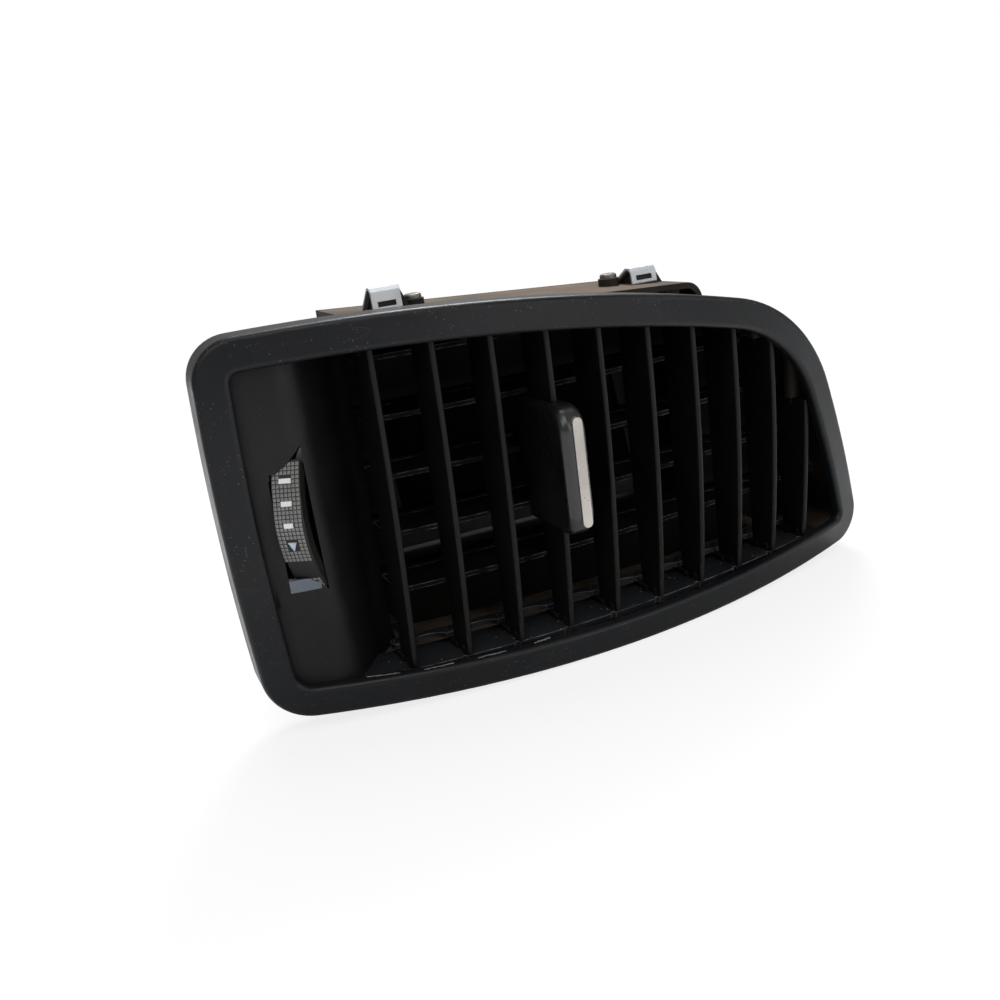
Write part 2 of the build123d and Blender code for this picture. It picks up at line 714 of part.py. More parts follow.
def row_bearing(row):
    """Boss on the right wall for a horizontal vane's pivot."""
    x = row_right_end(row) + VANE_END_GAP
    return rod_x(x, x + FAR / 8, ROW_PIVOT_Y, row_z(row), ROW_PIVOT_R + BOSS_WALL)


def row_holes(row):
    """Both pivot holes of a horizontal vane."""
    radius = ROW_PIVOT_R + RUNNING_GAP
    end = row_right_end(row)
    right = rod_x(end, end + VANE_END_GAP + PIVOT_LENGTH, ROW_PIVOT_Y, row_z(row), radius)
    left = rod_x(AIR_LEFT - WALL - 1, AIR_LEFT + 1, ROW_PIVOT_Y, row_z(row), radius)
    return right + left


def lower_carrier():
    """The airway's floor at the front, which holds the vertical vanes' lower pivots."""
    low = FLOOR_Z - CARRIER_THICKNESS
    right = vane_x(VANE_COUNT) + VANE_PITCH / 2 + CARRIER_OVER
    plate = block(RAMP_START_X, right, 0, FAR / 2, low, FLOOR_Z) & behind(CARRIER_FRONT, CARRIER_BACK)
    beside_ramp = prism_y(outline(SIDE_PLATE_INNER + FIT_GAP), -FAR, FAR)
    plate &= beside_ramp + block(AIR_LEFT, FAR, 0, FAR, low, FLOOR_Z)
    plate &= prism_y(outline(HOUSING_INSET + WALL), 0, FAR)
    plate -= panel_form(LIP_DEPTH, 0.0)
    for number in range(1, VANE_COUNT + 1):
        x = vane_x(number)
        plate -= rod_z(x, pivot_y(number), low - 1, FLOOR_Z + 1, PIVOT_R + RUNNING_GAP)
        edge = face_y(x, FLOOR_Z, CARRIER_FRONT)
        plate -= rod_z(x - CARRIER_NOTCH, edge, low - 1, FLOOR_Z + 1, CARRIER_NOTCH / 2)
    return plate


def vertical_vane(number):
    """One upright vane with its two pivots and the foot that carries its crank pin."""
    x = vane_x(number)
    top = vane_top(number)
    middle = (top + VANE_BOTTOM) / 2
    back = sweep_back(x) + VANE_BACK
    low_point = (face_y(x, VANE_BOTTOM, VANE_FRONT), VANE_BOTTOM)
    high_point = (face_y(x, top, VANE_FRONT), top)
    front = ThreePointArc(low_point, (face_y(x, middle, VANE_FRONT), middle), high_point)
    frame = Polyline(high_point, (back, top), (back, VANE_BOTTOM), low_point)
    half = VANE_THICKNESS / 2
    blade = prism_x(make_face([front, frame]), x - half, x + half)
    rounded = [edge for edge in blade.edges() if is_leading(edge, back)]
    blade = fillet(rounded, VANE_EDGE_ROUND)
    axis_y = pivot_y(number)
    pin_top = rod_z(x, axis_y, top - PIVOT_ROOT, top + VANE_END_GAP + PIVOT_LENGTH - FIT_GAP, PIVOT_R)
    pin_low = rod_z(x, axis_y, VANE_BOTTOM + PIVOT_ROOT, FLOOR_Z - CARRIER_THICKNESS, PIVOT_R)
    foot_top = VANE_BOTTOM + FOOT_HEIGHT
    foot_half = FOOT_WIDTH / 2
    root = back - FOOT_ROOT
    foot = block(x - foot_half, x + foot_half, root, crank_y(number), VANE_BOTTOM, foot_top)
    foot += rod_z(x, crank_y(number), VANE_BOTTOM, foot_top, foot_half)
    pin = rod_z(x, crank_y(number), VANE_BOTTOM, BAR_BOTTOM + BAR_THICKNESS + FIT_GAP, CRANK_PIN_R)
    return blade + pin_top + pin_low + foot + pin


def is_leading(edge, back):
    """Whether an edge runs down a vane's front."""
    return edge.bounding_box().size.Z > VANE_EDGE_ROUND and (edge @ 0.5).Y < back - VANE_THICKNESS


def vertical_link_bar():
    """The scalloped bar that joins the crank pins of all vertical vanes."""
    face = None
    for number in range(1, VANE_COUNT + 1):
        boss = Pos(vane_x(number), crank_y(number)) * Circle(BAR_WIDTH / 2)
        face = boss if face is None else face + boss
    for number in range(1, VANE_COUNT):
        start = Vector(vane_x(number), crank_y(number))
        end = Vector(vane_x(number + 1), crank_y(number + 1))
        span = end - start
        angle = math.degrees(math.atan2(span.Y, span.X))
        middle = (start + end) / 2
        place = Pos(middle.X, middle.Y) * Rot(0, 0, angle)
        strip = place * Rectangle(span.length, BAR_WIDTH)
        scallop_r = VANE_PITCH / 2
        bite = place * Pos(0, BAR_WIDTH / 2 - BAR_WAIST - scallop_r) * Circle(scallop_r)
        face += strip - bite
    for number in range(1, VANE_COUNT + 1):
        face -= Pos(vane_x(number), crank_y(number)) * Circle(CRANK_PIN_R + LOOSE_GAP)
    return prism_z(face, BAR_BOTTOM, BAR_BOTTOM + BAR_THICKNESS)


def horizontal_vane(row):
    """One level vane with a front edge that follows the face, two pivots and an outer crank."""
    z = row_z(row)
    left = AIR_LEFT + VANE_END_GAP
    right = row_right_end(row)
    middle = (left + right) / 2

    def lead(x):
        return (x, min(sweep_back(x) + ROW_FRONT, ROW_PIVOT_Y - ROW_PIVOT_R))

    front = ThreePointArc(lead(left), lead(middle), lead(right))
    frame = Polyline(lead(right), (right, ROW_BACK_Y), (left, ROW_BACK_Y), lead(left))
    half = ROW_THICKNESS / 2
    blade = prism_z(make_face([front, frame]), z - half, z + half)
    if row == KNOB_ROW:
        blade = with_grip(blade, z)
    spine = rod_x(left, right, ROW_PIVOT_Y, z, ROW_PIVOT_R)
    outer = AIR_LEFT - WALL - VANE_END_GAP
    left_pin = rod_x(outer, left, ROW_PIVOT_Y, z, ROW_PIVOT_R)
    right_pin = rod_x(right, right + VANE_END_GAP + PIVOT_LENGTH - FIT_GAP, ROW_PIVOT_Y, z, ROW_PIVOT_R)
    inner = outer - ROW_CRANK_WALL
    far = ROW_PIVOT_Y + ROW_CRANK
    arm = block(inner, outer, ROW_PIVOT_Y, far, z - ROW_PIVOT_R, z + ROW_PIVOT_R)
    arm += rod_x(inner, outer, ROW_PIVOT_Y, z, ROW_PIVOT_R)
    arm += rod_x(inner, outer, far, z, ROW_PIVOT_R)
    pin = rod_x(inner - BAR_THICKNESS - 2 * FIT_GAP, outer, far, z, CRANK_PIN_R)
    return blade + spine + left_pin + right_pin + arm + pin


def grip_y():
    """Y of the round bar that the knob's fork holds."""
    return sweep_back(KNOB_X) + ROW_FRONT + GRIP_R


def with_grip(blade, z):
    """Cut a window behind a vane's front edge and leave a round bar in front of it."""
    y = grip_y()
    window = block(KNOB_X - GRIP_HALF, KNOB_X + GRIP_HALF, 0, y + GRIP_WINDOW, z - GRIP_R, z + GRIP_R)
    bar = rod_x(KNOB_X - GRIP_HALF - 1, KNOB_X + GRIP_HALF + 1, y, z, GRIP_R)
    return blade - window + bar


def horizontal_link_bar():
    """The upright bar outside the housing that joins the horizontal vanes' cranks."""
    right = AIR_LEFT - WALL - VANE_END_GAP - ROW_CRANK_WALL - FIT_GAP
    left = right - BAR_THICKNESS
    y = ROW_PIVOT_Y + ROW_CRANK
    low = row_z(ROW_COUNT)
    high = row_z(1)
    bar = block(left, right, y - ROW_BAR_WIDTH / 2, y + ROW_BAR_WIDTH / 2, low, high)
    bar += rod_x(left, right, y, low, ROW_BAR_WIDTH / 2)
    bar += rod_x(left, right, y, high, ROW_BAR_WIDTH / 2)
    for row in range(1, ROW_COUNT + 1):
        bar -= rod_x(left - 1, right + 1, y, row_z(row), CRANK_PIN_R + LOOSE_GAP)
    return bar


def knob_front_y():
    """Y of the knob's front face."""
    return sweep_back(KNOB_X) - KNOB_FRONT


def knob_body():
    """The knob that slides up and down the fourth vane, open at its back."""
    front = knob_front_y()
    left = KNOB_X - KNOB_WIDTH / 2
    right = KNOB_X + KNOB_WIDTH / 2
    body = block(left, right, front, KNOB_BACK_Y, KNOB_BOTTOM_Z, KNOB_TOP_Z)
    across = [edge for edge in body.edges().filter_by(Axis.X) if (edge @ 0.5).Y < front + 1]
    body = fillet(across, KNOB_CORNER)
    outline_edges = [edge for edge in body.edges() if is_knob_front(edge, front)]
    body = fillet(outline_edges, KNOB_EDGE)
    slot = VANE_THICKNESS / 2 + KNOB_SLOT_GAP
    slot_front = face_y(KNOB_X, FACE_APEX_Z, VANE_FRONT) - KNOB_SLOT_GAP
    body -= block(KNOB_X - slot, KNOB_X + slot, slot_front, FAR, -FAR, FAR)
    return body - knob_insert_form(0.0)


def is_knob_front(edge, front):
    """Whether an edge is part of one of the two long loops round the knob's front."""
    middle = edge @ 0.5
    aside = abs(abs(middle.X - KNOB_X) - KNOB_WIDTH / 2) < 0.01
    return aside and middle.Y < front + KNOB_CORNER + 0.01 and edge.bounding_box().size.X < 0.01


def knob_insert_form(proud):
    """The bright strip in the knob's front, with round ends."""
    front = knob_front_y()
    x = KNOB_X + INSERT_OFFSET
    z = (KNOB_TOP_Z + KNOB_BOTTOM_Z) / 2
    strip = Pos(x, z) * SlotOverall(INSERT_HEIGHT, INSERT_WIDTH, rotation=90)
    return prism_y(strip, front - proud, front + INSERT_DEPTH)


def knob_insert():
    """The bright strip, standing a little proud of the knob."""
    return knob_insert_form(INSERT_PROUD)


def knob_fork():
    """The fork behind the knob, which holds the middle horizontal vane's bar."""
    z = row_z(KNOB_ROW)
    half = FORK_WIDTH / 2
    tip = grip_y() + FORK_REACH / 2
    body = block(KNOB_X - half, KNOB_X + half, KNOB_BACK_Y, tip, z - FORK_HEIGHT / 2, z + FORK_HEIGHT / 2)
    gap = GRIP_R + FORK_GAP
    return body - block(KNOB_X - half, KNOB_X + half, KNOB_BACK_Y + FORK_BRIDGE, tip + 1, z - gap, z + gap)


def back_screw_places():
    """X and Z of the screws that hold the rear housing."""
    inset = BACK_SCREW_INSET
    left = AIR_LEFT + inset / 2
    low = FLOOR_Z - CARRIER_THICKNESS
    return [(left, low), (HALF_WIDTH - SHOULDER_IN, low), (left, crown_z(left) - inset)]


def top_clips():
    """Centre across and height of the two upper clips."""
    return [(CLIP_LEFT_X, CLIP_HEIGHT_LEFT), (CLIP_RIGHT_X, CLIP_HEIGHT_RIGHT)]


def clip_screw_places():
    """X and seat height of the screws beside the upper clips."""
    places = [CLIP_LEFT_X + CLIP_SCREW_OFFSET, CLIP_RIGHT_X - CLIP_SCREW_OFFSET]
    return [(x, crown_z(x) + SCREW_BOSS_HEIGHT) for x in places]


def clip_screw_y():
    """Y of the screws beside the upper clips."""
    return CLIP_Y + CLIP_LENGTH / 2


def clip_boss(centre, height):
    """Rib, gusset and screw boss that stand on the housing's top round a clip."""
    base = crown_z(centre - CLIP_WIDTH / 2)
    inner = CLIP_WIDTH / 2 - CLIP_RIB
    line = clip_line(CLIP_Y, base + CLIP_SHEET / 2, height, 1)
    foot = [(CLIP_Y + CLIP_LENGTH, base - WALL), (CLIP_Y, base - WALL)]
    profile = make_face(Polyline(*line, *foot, close=True))
    rib = prism_x(profile, centre - inner, centre + inner) - top_clip(centre, height)
    side = centre + CLIP_WIDTH / 2
    gusset = make_face(Polyline((side, base - WALL), (side, base + height - CLIP_SHEET),
                                (side + CLIP_GUSSET, base - WALL), close=True))
    rib += prism_y(gusset, CLIP_Y + CLIP_RIB, CLIP_Y + 2 * CLIP_RIB)
    for x, z in clip_screw_places():
        if abs(x - centre) < 2 * CLIP_SCREW_OFFSET:
            rib += rod_z(x, clip_screw_y(), z - CLIP_SCREW_LENGTH - 1, z, SCREW_BOSS_R)
    return rib


def clip_line(y, base, height, sign):
    """Middle line of one spring clip's bent strip, drawn in Y and Z, rising from base along sign."""
    top = height - CLIP_SHEET
    crest = CLIP_LEAN + CLIP_BEND
    outer = [(0, 0), (CLIP_LEAN, top - CLIP_BEND), (crest, top), (crest + CLIP_CREST, top), (CLIP_LENGTH, 0)]
    return [(y + along, base + sign * rise) for along, rise in outer]


def spring_clip(centre, y, base, height, sign):
    """One spring clip of bent sheet steel with a window in its front leg."""
    line = Polyline(*clip_line(y, base, height, sign))
    strip = make_face(offset(line, CLIP_SHEET / 2, side=Side.BOTH).edges())
    clip = prism_x(strip, centre - CLIP_WIDTH / 2, centre + CLIP_WIDTH / 2)
    half = CLIP_WINDOW_WIDTH / 2
    reach = 2 * CLIP_SHEET
    low = base + sign * CLIP_WINDOW_HEIGHT - CLIP_WINDOW_HEIGHT / 2
    return clip - block(centre - half, centre + half, y - reach, y + reach, low, low + CLIP_WINDOW_HEIGHT)


def top_clip(centre, height):
    """An upper clip, seated on the housing's top."""
    base = crown_z(centre - CLIP_WIDTH / 2) + CLIP_SHEET / 2
    return spring_clip(centre, CLIP_Y, base, height, 1)


def bottom_clip(centre):
    """A lower clip, whose back is level with the bezel's lowest point."""
    base = housing_floor(centre) - CLIP_SHEET / 2
    return spring_clip(centre, BOTTOM_CLIP_Y, base, base + CLIP_SHEET / 2 + HALF_HEIGHT, -1)


def housing_floor(x):
    """Height of the housing's underside at a place across."""
    strip = housing_section(0) & rectangle(x - CLIP_WIDTH / 2, x + CLIP_WIDTH / 2, -FAR, 0)
    return strip.bounding_box().min.Y


def screw(length):
    """A pan-head screw that stands on its tip along +Z, its head's underside at the origin."""
    head = Pos(0, 0, SCREW_HEAD_HEIGHT / 2) * Cylinder(SCREW_HEAD_R, SCREW_HEAD_HEIGHT)
    head = fillet(head.edges().sort_by(Axis.Z)[-1], SCREW_HEAD_HEIGHT / 2)
    return head + Pos(0, 0, -length / 2) * Cylinder(SCREW_SHANK_R, length)


def clip_screws():
    """The screws beside the upper clips."""
    form = screw(CLIP_SCREW_LENGTH - FIT_GAP)
    return [Pos(x, clip_screw_y(), z) * form for x, z in clip_screw_places()]


def back_screws():
    """The screws that hold the rear housing on."""
    face = HOUSING_BACK_Y + BACK_PLATE
    turned = Rot(-90, 0, 0) * screw(BACK_SCREW_LENGTH + BACK_PLATE - FIT_GAP)
    return [Pos(x, face, z) * turned for x, z in back_screw_places()]


def duct_section(grow):
    """Section of the square duct that the damper closes, drawn in X and Z."""
    face = rectangle(DUCT_LEFT - grow, DUCT_RIGHT + grow, DUCT_BOTTOM - grow, DUCT_TOP + grow)
    return fillet(face.vertices(), DUCT_ROUND + grow)


def rear_housing():
    """The back plate and the square duct that holds the damper."""
    plate = prism_y(housing_section(0), HOUSING_BACK_Y, HOUSING_BACK_Y + BACK_PLATE)
    body = plate + prism_y(duct_section(DUCT_WALL), HOUSING_BACK_Y, DUCT_END_Y)
    body -= prism_y(duct_section(0), HOUSING_BACK_Y - 1, DUCT_END_Y + 1)
    z = damper_z()
    boss_r = DAMPER_AXLE_R + BOSS_WALL
    body += rod_x(DUCT_RIGHT + DUCT_WALL / 2, DUCT_RIGHT + DUCT_WALL + PIVOT_LENGTH, DAMPER_Y, z, boss_r)
    hole_r = DAMPER_AXLE_R + RUNNING_GAP
    body -= rod_x(DUCT_LEFT - DUCT_WALL - 1, DUCT_LEFT + 1, DAMPER_Y, z, hole_r)
    body -= rod_x(DUCT_RIGHT - 1, DUCT_RIGHT + DUCT_WALL + PIVOT_LENGTH / 2, DAMPER_Y, z, hole_r)
    for x, screw_z in back_screw_places():
        body -= rod_y(x, HOUSING_BACK_Y - 1, HOUSING_BACK_Y + BACK_PLATE + 1, screw_z, SCREW_SHANK_R)
    return body


def damper_z():
    """Height of the damper's axle."""
    return (DUCT_TOP + DUCT_BOTTOM) / 2


def damper_place():
    """Place of the damper's plate: it is drawn level, and it is stored closed, as in the photo."""
    return Pos(0, DAMPER_Y, damper_z()) * Rot(DAMPER_CLOSED, 0, 0)


def damper_flap():
    """The damper: a plate on a round spine, with stubs in the duct's walls and a lever outside."""
    z = damper_z()
    left = DUCT_LEFT + DAMPER_SIDE_GAP
    right = DUCT_RIGHT - DAMPER_SIDE_GAP
    half = DAMPER_THICKNESS / 2
    plate = damper_place() * block(left, right, -DAMPER_HALF, DAMPER_HALF, -half, half)
    spine = rod_x(left, right, DAMPER_Y, z, DAMPER_HUB_R)
    axle = rod_x(LEVER_RIGHT - LEVER_THICKNESS, DUCT_RIGHT + DUCT_WALL, DAMPER_Y, z, DAMPER_AXLE_R)
    lever = lever_form(z)
    return plate + spine + axle + lever


def lever_form(z):
    """The lever on the damper's left stub, with the pin that the rod pushes."""
    along, up = link_offset()
    right = LEVER_RIGHT
    left = right - LEVER_THICKNESS
    tip_r = LINK_PIN_R + BOSS_WALL
    arm = Pos(along / 2, up / 2) * Rot(0, 0, LINK_START_ANGLE) * Rectangle(LINK_CRANK, 2 * tip_r)
    solid = prism_x(arm, left, right)
    solid += rod_x(left, right, 0, 0, DAMPER_AXLE_R + BOSS_WALL)
    solid += rod_x(left, right, along, up, tip_r)
    solid += rod_x(left - LEVER_PIN_ROOM - LINK_THICKNESS - FIT_GAP, right, along, up, LINK_PIN_R)
    return Pos(0, DAMPER_Y, z) * solid


def damper_seal():
    """Foam frame on the damper's face, in two halves beside its spine."""
    low = DAMPER_THICKNESS / 2
    left = DUCT_LEFT + DAMPER_SIDE_GAP - SEAL_OVER / 2
    right = DUCT_RIGHT - DAMPER_SIDE_GAP + SEAL_OVER / 2
    inside = DAMPER_HALF - SEAL_BORDER
    outer = rectangle(left, right, -DAMPER_HALF, DAMPER_HALF)
    inner = rectangle(left + SEAL_BORDER, right - SEAL_BORDER, -inside, inside)
    spine = rectangle(-FAR, FAR, -DAMPER_HUB_R, DAMPER_HUB_R)
    return damper_place() * prism_z(outer - inner - spine, low, low + SEAL_THICKNESS)


def damper_rod():
    """The rod from the thumbwheel's crank pin to the damper's lever, with an eye square to each."""
    along, up = link_offset()
    half = LINK_THICKNESS / 2
    near_x = -WHEEL_WIDTH / 2 - FIT_GAP - half
    near = wheel_place() * Pos(near_x, along, up)
    far_x = LEVER_RIGHT - LEVER_THICKNESS - LEVER_PIN_ROOM - half
    far = Pos(far_x, DAMPER_Y + along, damper_z() + up)
    start = near.position
    end = far.position
    span = end - start
    lie = Plane(origin=(start + end) / 2, x_dir=span, z_dir=span.cross(Vector(0, 0, 1)))
    rod = lie * Box(span.length - LINK_EYE_R, LINK_THICKNESS, LINK_THICKNESS)
    rod += near * rod_x(-half, half, 0, 0, LINK_EYE_R)
    rod += far * rod_x(-half, half, 0, 0, LINK_EYE_R + LINK_LOOSE_GAP)
    rod -= near * rod_x(-LINK_EYE_R, LINK_EYE_R, 0, 0, LINK_PIN_R + RUNNING_GAP)
    return rod - far * rod_x(-LINK_EYE_R, LINK_EYE_R, 0, 0, LINK_PIN_R + LINK_LOOSE_GAP)


def inlet_gasket():
    """Foam band round the end of the square duct."""
    ring = duct_section(DUCT_WALL + GASKET_THICKNESS) - duct_section(DUCT_WALL)
    return prism_y(ring, DUCT_END_Y - GASKET_LENGTH, DUCT_END_Y)


def save(name, shape):
    """Write one node's solids to its file."""
    solids = []
    for piece in shape if isinstance(shape, list) else [shape]:
        solids += piece.solids()
    export_step(Compound(solids) if len(solids) > 1 else solids[0], os.path.join("parts", name + ".step"))


def main():
    os.makedirs("parts", exist_ok=True)
    save("bezel", bezel())
    save("control_panel", control_panel())
    save("indicator_block", indicator())
    save("thumbwheel", thumbwheel())
    save("wheel_bracket", wheel_bracket())
    save("wheel_axle", wheel_axle())
    save("front_housing", front_housing())
    save("lower_carrier", lower_carrier())
    for number in range(1, VANE_COUNT + 1):
        save(f"vertical_vane_{number:02d}", vertical_vane(number))
    save("vertical_link_bar", vertical_link_bar())
    for row in range(1, ROW_COUNT + 1):
        save(f"horizontal_vane_{row}", horizontal_vane(row))
    save("horizontal_link_bar", horizontal_link_bar())
    save("knob_body", knob_body())
    save("knob_insert", knob_insert())
    save("knob_fork", knob_fork())
    save("rear_housing", rear_housing())
    save("damper_flap", damper_flap())
    save("damper_seal", damper_seal())
    save("damper_rod", damper_rod())
    save("inlet_gasket", inlet_gasket())
    for side, (centre, height) in zip(("left", "right"), top_clips()):
        save(f"top_clip_{side}", top_clip(centre, height))
    save("bottom_clip_left", bottom_clip(-BOTTOM_CLIP_X))
    save("bottom_clip_right", bottom_clip(BOTTOM_CLIP_X))
    save("clip_screws", clip_screws())
    save("back_screws", back_screws())


main()
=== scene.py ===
"""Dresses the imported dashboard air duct: curved face frame, vanes, knob, knurled wheel and duct."""

import logging
import math
import random
from dataclasses import dataclass, field
from enum import Enum

import bmesh
import bpy
from mathutils import Matrix, Vector


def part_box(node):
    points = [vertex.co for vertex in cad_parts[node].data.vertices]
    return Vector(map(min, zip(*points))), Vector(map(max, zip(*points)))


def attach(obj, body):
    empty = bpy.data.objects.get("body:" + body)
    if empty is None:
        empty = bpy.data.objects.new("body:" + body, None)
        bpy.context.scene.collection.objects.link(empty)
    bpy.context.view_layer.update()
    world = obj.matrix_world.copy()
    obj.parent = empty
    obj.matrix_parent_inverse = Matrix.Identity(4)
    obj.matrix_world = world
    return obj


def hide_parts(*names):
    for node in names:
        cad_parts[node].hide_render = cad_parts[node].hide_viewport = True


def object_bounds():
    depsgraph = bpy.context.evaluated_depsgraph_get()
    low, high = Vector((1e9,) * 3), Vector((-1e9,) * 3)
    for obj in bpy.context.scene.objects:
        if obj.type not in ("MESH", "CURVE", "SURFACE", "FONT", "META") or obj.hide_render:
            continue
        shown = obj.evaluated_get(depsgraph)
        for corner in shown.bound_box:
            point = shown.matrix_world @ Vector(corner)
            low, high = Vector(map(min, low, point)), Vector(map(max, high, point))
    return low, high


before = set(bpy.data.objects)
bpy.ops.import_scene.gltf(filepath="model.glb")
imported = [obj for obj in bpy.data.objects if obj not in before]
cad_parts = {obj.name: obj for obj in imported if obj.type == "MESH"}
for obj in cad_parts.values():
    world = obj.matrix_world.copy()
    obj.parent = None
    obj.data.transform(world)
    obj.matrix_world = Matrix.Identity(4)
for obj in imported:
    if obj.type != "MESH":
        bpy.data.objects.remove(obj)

CAD_BOX = [list(corner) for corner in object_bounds()]
LOG = logging.getLogger("air_duct")
MM = 0.001

Colour = tuple[float, float, float]
Span = tuple[float, float]


class Slot(Enum):
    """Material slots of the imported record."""

    BLACK = "black_plastic"
    GREY_BLUE = "grey_blue_plastic"
    BRIGHT = "bright_trim"
    SCREW = "screw_steel"


class Nodes:
    """Shorthand for adding and joining nodes in one node tree."""

    def __init__(self, tree: bpy.types.NodeTree) -> None:
        """Keep the tree that nodes go into.

        Args:
            tree: The node tree of a material, a world or a group.
        """
        self.tree = tree

    def add(self, kind: str, **settings: object) -> bpy.types.Node:
        """Add one node.

        Args:
            kind: Blender's name for the type of node.
            settings: Properties to set on it.

        Returns:
            The new node.
        """
        node = self.tree.nodes.new(kind)
        for name, value in settings.items():
            setattr(node, name, value)
        return node

    def join(self, source: bpy.types.NodeSocket, target: bpy.types.NodeSocket) -> None:
        """Link an output to an input.

        Args:
            source: The output.
            target: The input.
        """
        self.tree.links.new(source, target)

    def feed(self, target: bpy.types.NodeSocket, value: object) -> None:
        """Give an input a link or a plain value.

        Args:
            target: The input.
            value: An output socket, or a number or colour.
        """
        if isinstance(value, bpy.types.NodeSocket):
            self.join(value, target)
        else:
            target.default_value = value

    def math(self, operation: str, first: object, second: object = 0.0) -> bpy.types.NodeSocket:
        """A calculation on one or two values.

        Args:
            operation: Blender's name for it.
            first: Socket or number.
            second: Socket or number.

        Returns:
            The output socket.
        """
        node = self.add("ShaderNodeMath", operation=operation)
        self.feed(node.inputs[0], first)
        self.feed(node.inputs[1], second)
        return node.outputs[0]

    def ramp(self, value: object, low: float, high: float) -> bpy.types.NodeSocket:
        """A smooth step of a value between two limits, from 0 to 1.

        Args:
            value: Socket or number.
            low: Value that gives 0.
            high: Value that gives 1.

        Returns:
            The output socket.
        """
        node = self.add("ShaderNodeMapRange", interpolation_type="SMOOTHSTEP")
        self.feed(node.inputs["Value"], value)
        node.inputs["From Min"].default_value = low
        node.inputs["From Max"].default_value = high
        return node.outputs["Result"]

    def mix(self, share: object, first: object, second: object) -> bpy.types.NodeSocket:
        """A mix of two colours.

        Args:
            share: Share of the second one.
            first: Socket or colour.
            second: Socket or colour.

        Returns:
            The output socket.
        """
        node = self.add("ShaderNodeMix", data_type="RGBA")
        self.feed(node.inputs[0], share)
        self.feed(node.inputs[6], first)
        self.feed(node.inputs[7], second)
        return node.outputs[2]

    def noise(self, place: bpy.types.NodeSocket, scale: object, detail: float = 3.0,
              rough: float = 0.5) -> bpy.types.NodeSocket:
        """Noise at a scale in turns per metre.

        Args:
            place: Socket with the place.
            scale: Socket or number.
            detail: Number of finer layers.
            rough: Strength of the finer layers.

        Returns:
            The noise's value.
        """
        node = self.add("ShaderNodeTexNoise")
        self.join(place, node.inputs["Vector"])
        self.feed(node.inputs["Scale"], scale)
        node.inputs["Detail"].default_value = detail
        node.inputs["Roughness"].default_value = rough
        return node.outputs["Fac"]


@dataclass
class Group:
    """A shader group under work, with its node helper and its two end nodes."""

    tree: bpy.types.NodeTree
    nodes: Nodes
    given: bpy.types.Node
    made: bpy.types.Node

    @classmethod
    def start(cls, name: str, inputs: dict[str, object], outputs: dict[str, str]) -> "Group":
        """Make a group with named sockets.

        Args:
            name: The group's name.
            inputs: Default value of each input; a colour where it has four numbers.
            outputs: Kind of each output.

        Returns:
            The group.
        """
        tree = bpy.data.node_groups.new(name, "ShaderNodeTree")
        for label, value in inputs.items():
            kind = "NodeSocketColor" if isinstance(value, tuple) else "NodeSocketFloat"
            socket = tree.interface.new_socket(name=label, in_out="INPUT", socket_type=kind)
            socket.default_value = value
        for label, kind in outputs.items():
            tree.interface.new_socket(name=label, in_out="OUTPUT", socket_type=kind)
        nodes = Nodes(tree)
        return cls(tree, nodes, nodes.add("NodeGroupInput"), nodes.add("NodeGroupOutput"))

    def give_mixed(self, mask: bpy.types.NodeSocket, colour: str) -> None:
        """Put out the base colour mixed with another one, and the mask that mixes them.

        Args:
            mask: Share of the other colour.
            colour: Name of the input with the other colour.
        """
        mixed = self.nodes.mix(mask, self.given.outputs["Base Color"], self.given.outputs[colour])
        self.nodes.join(mixed, self.made.inputs["Color"])
        self.nodes.join(mask, self.made.inputs["Mask"])


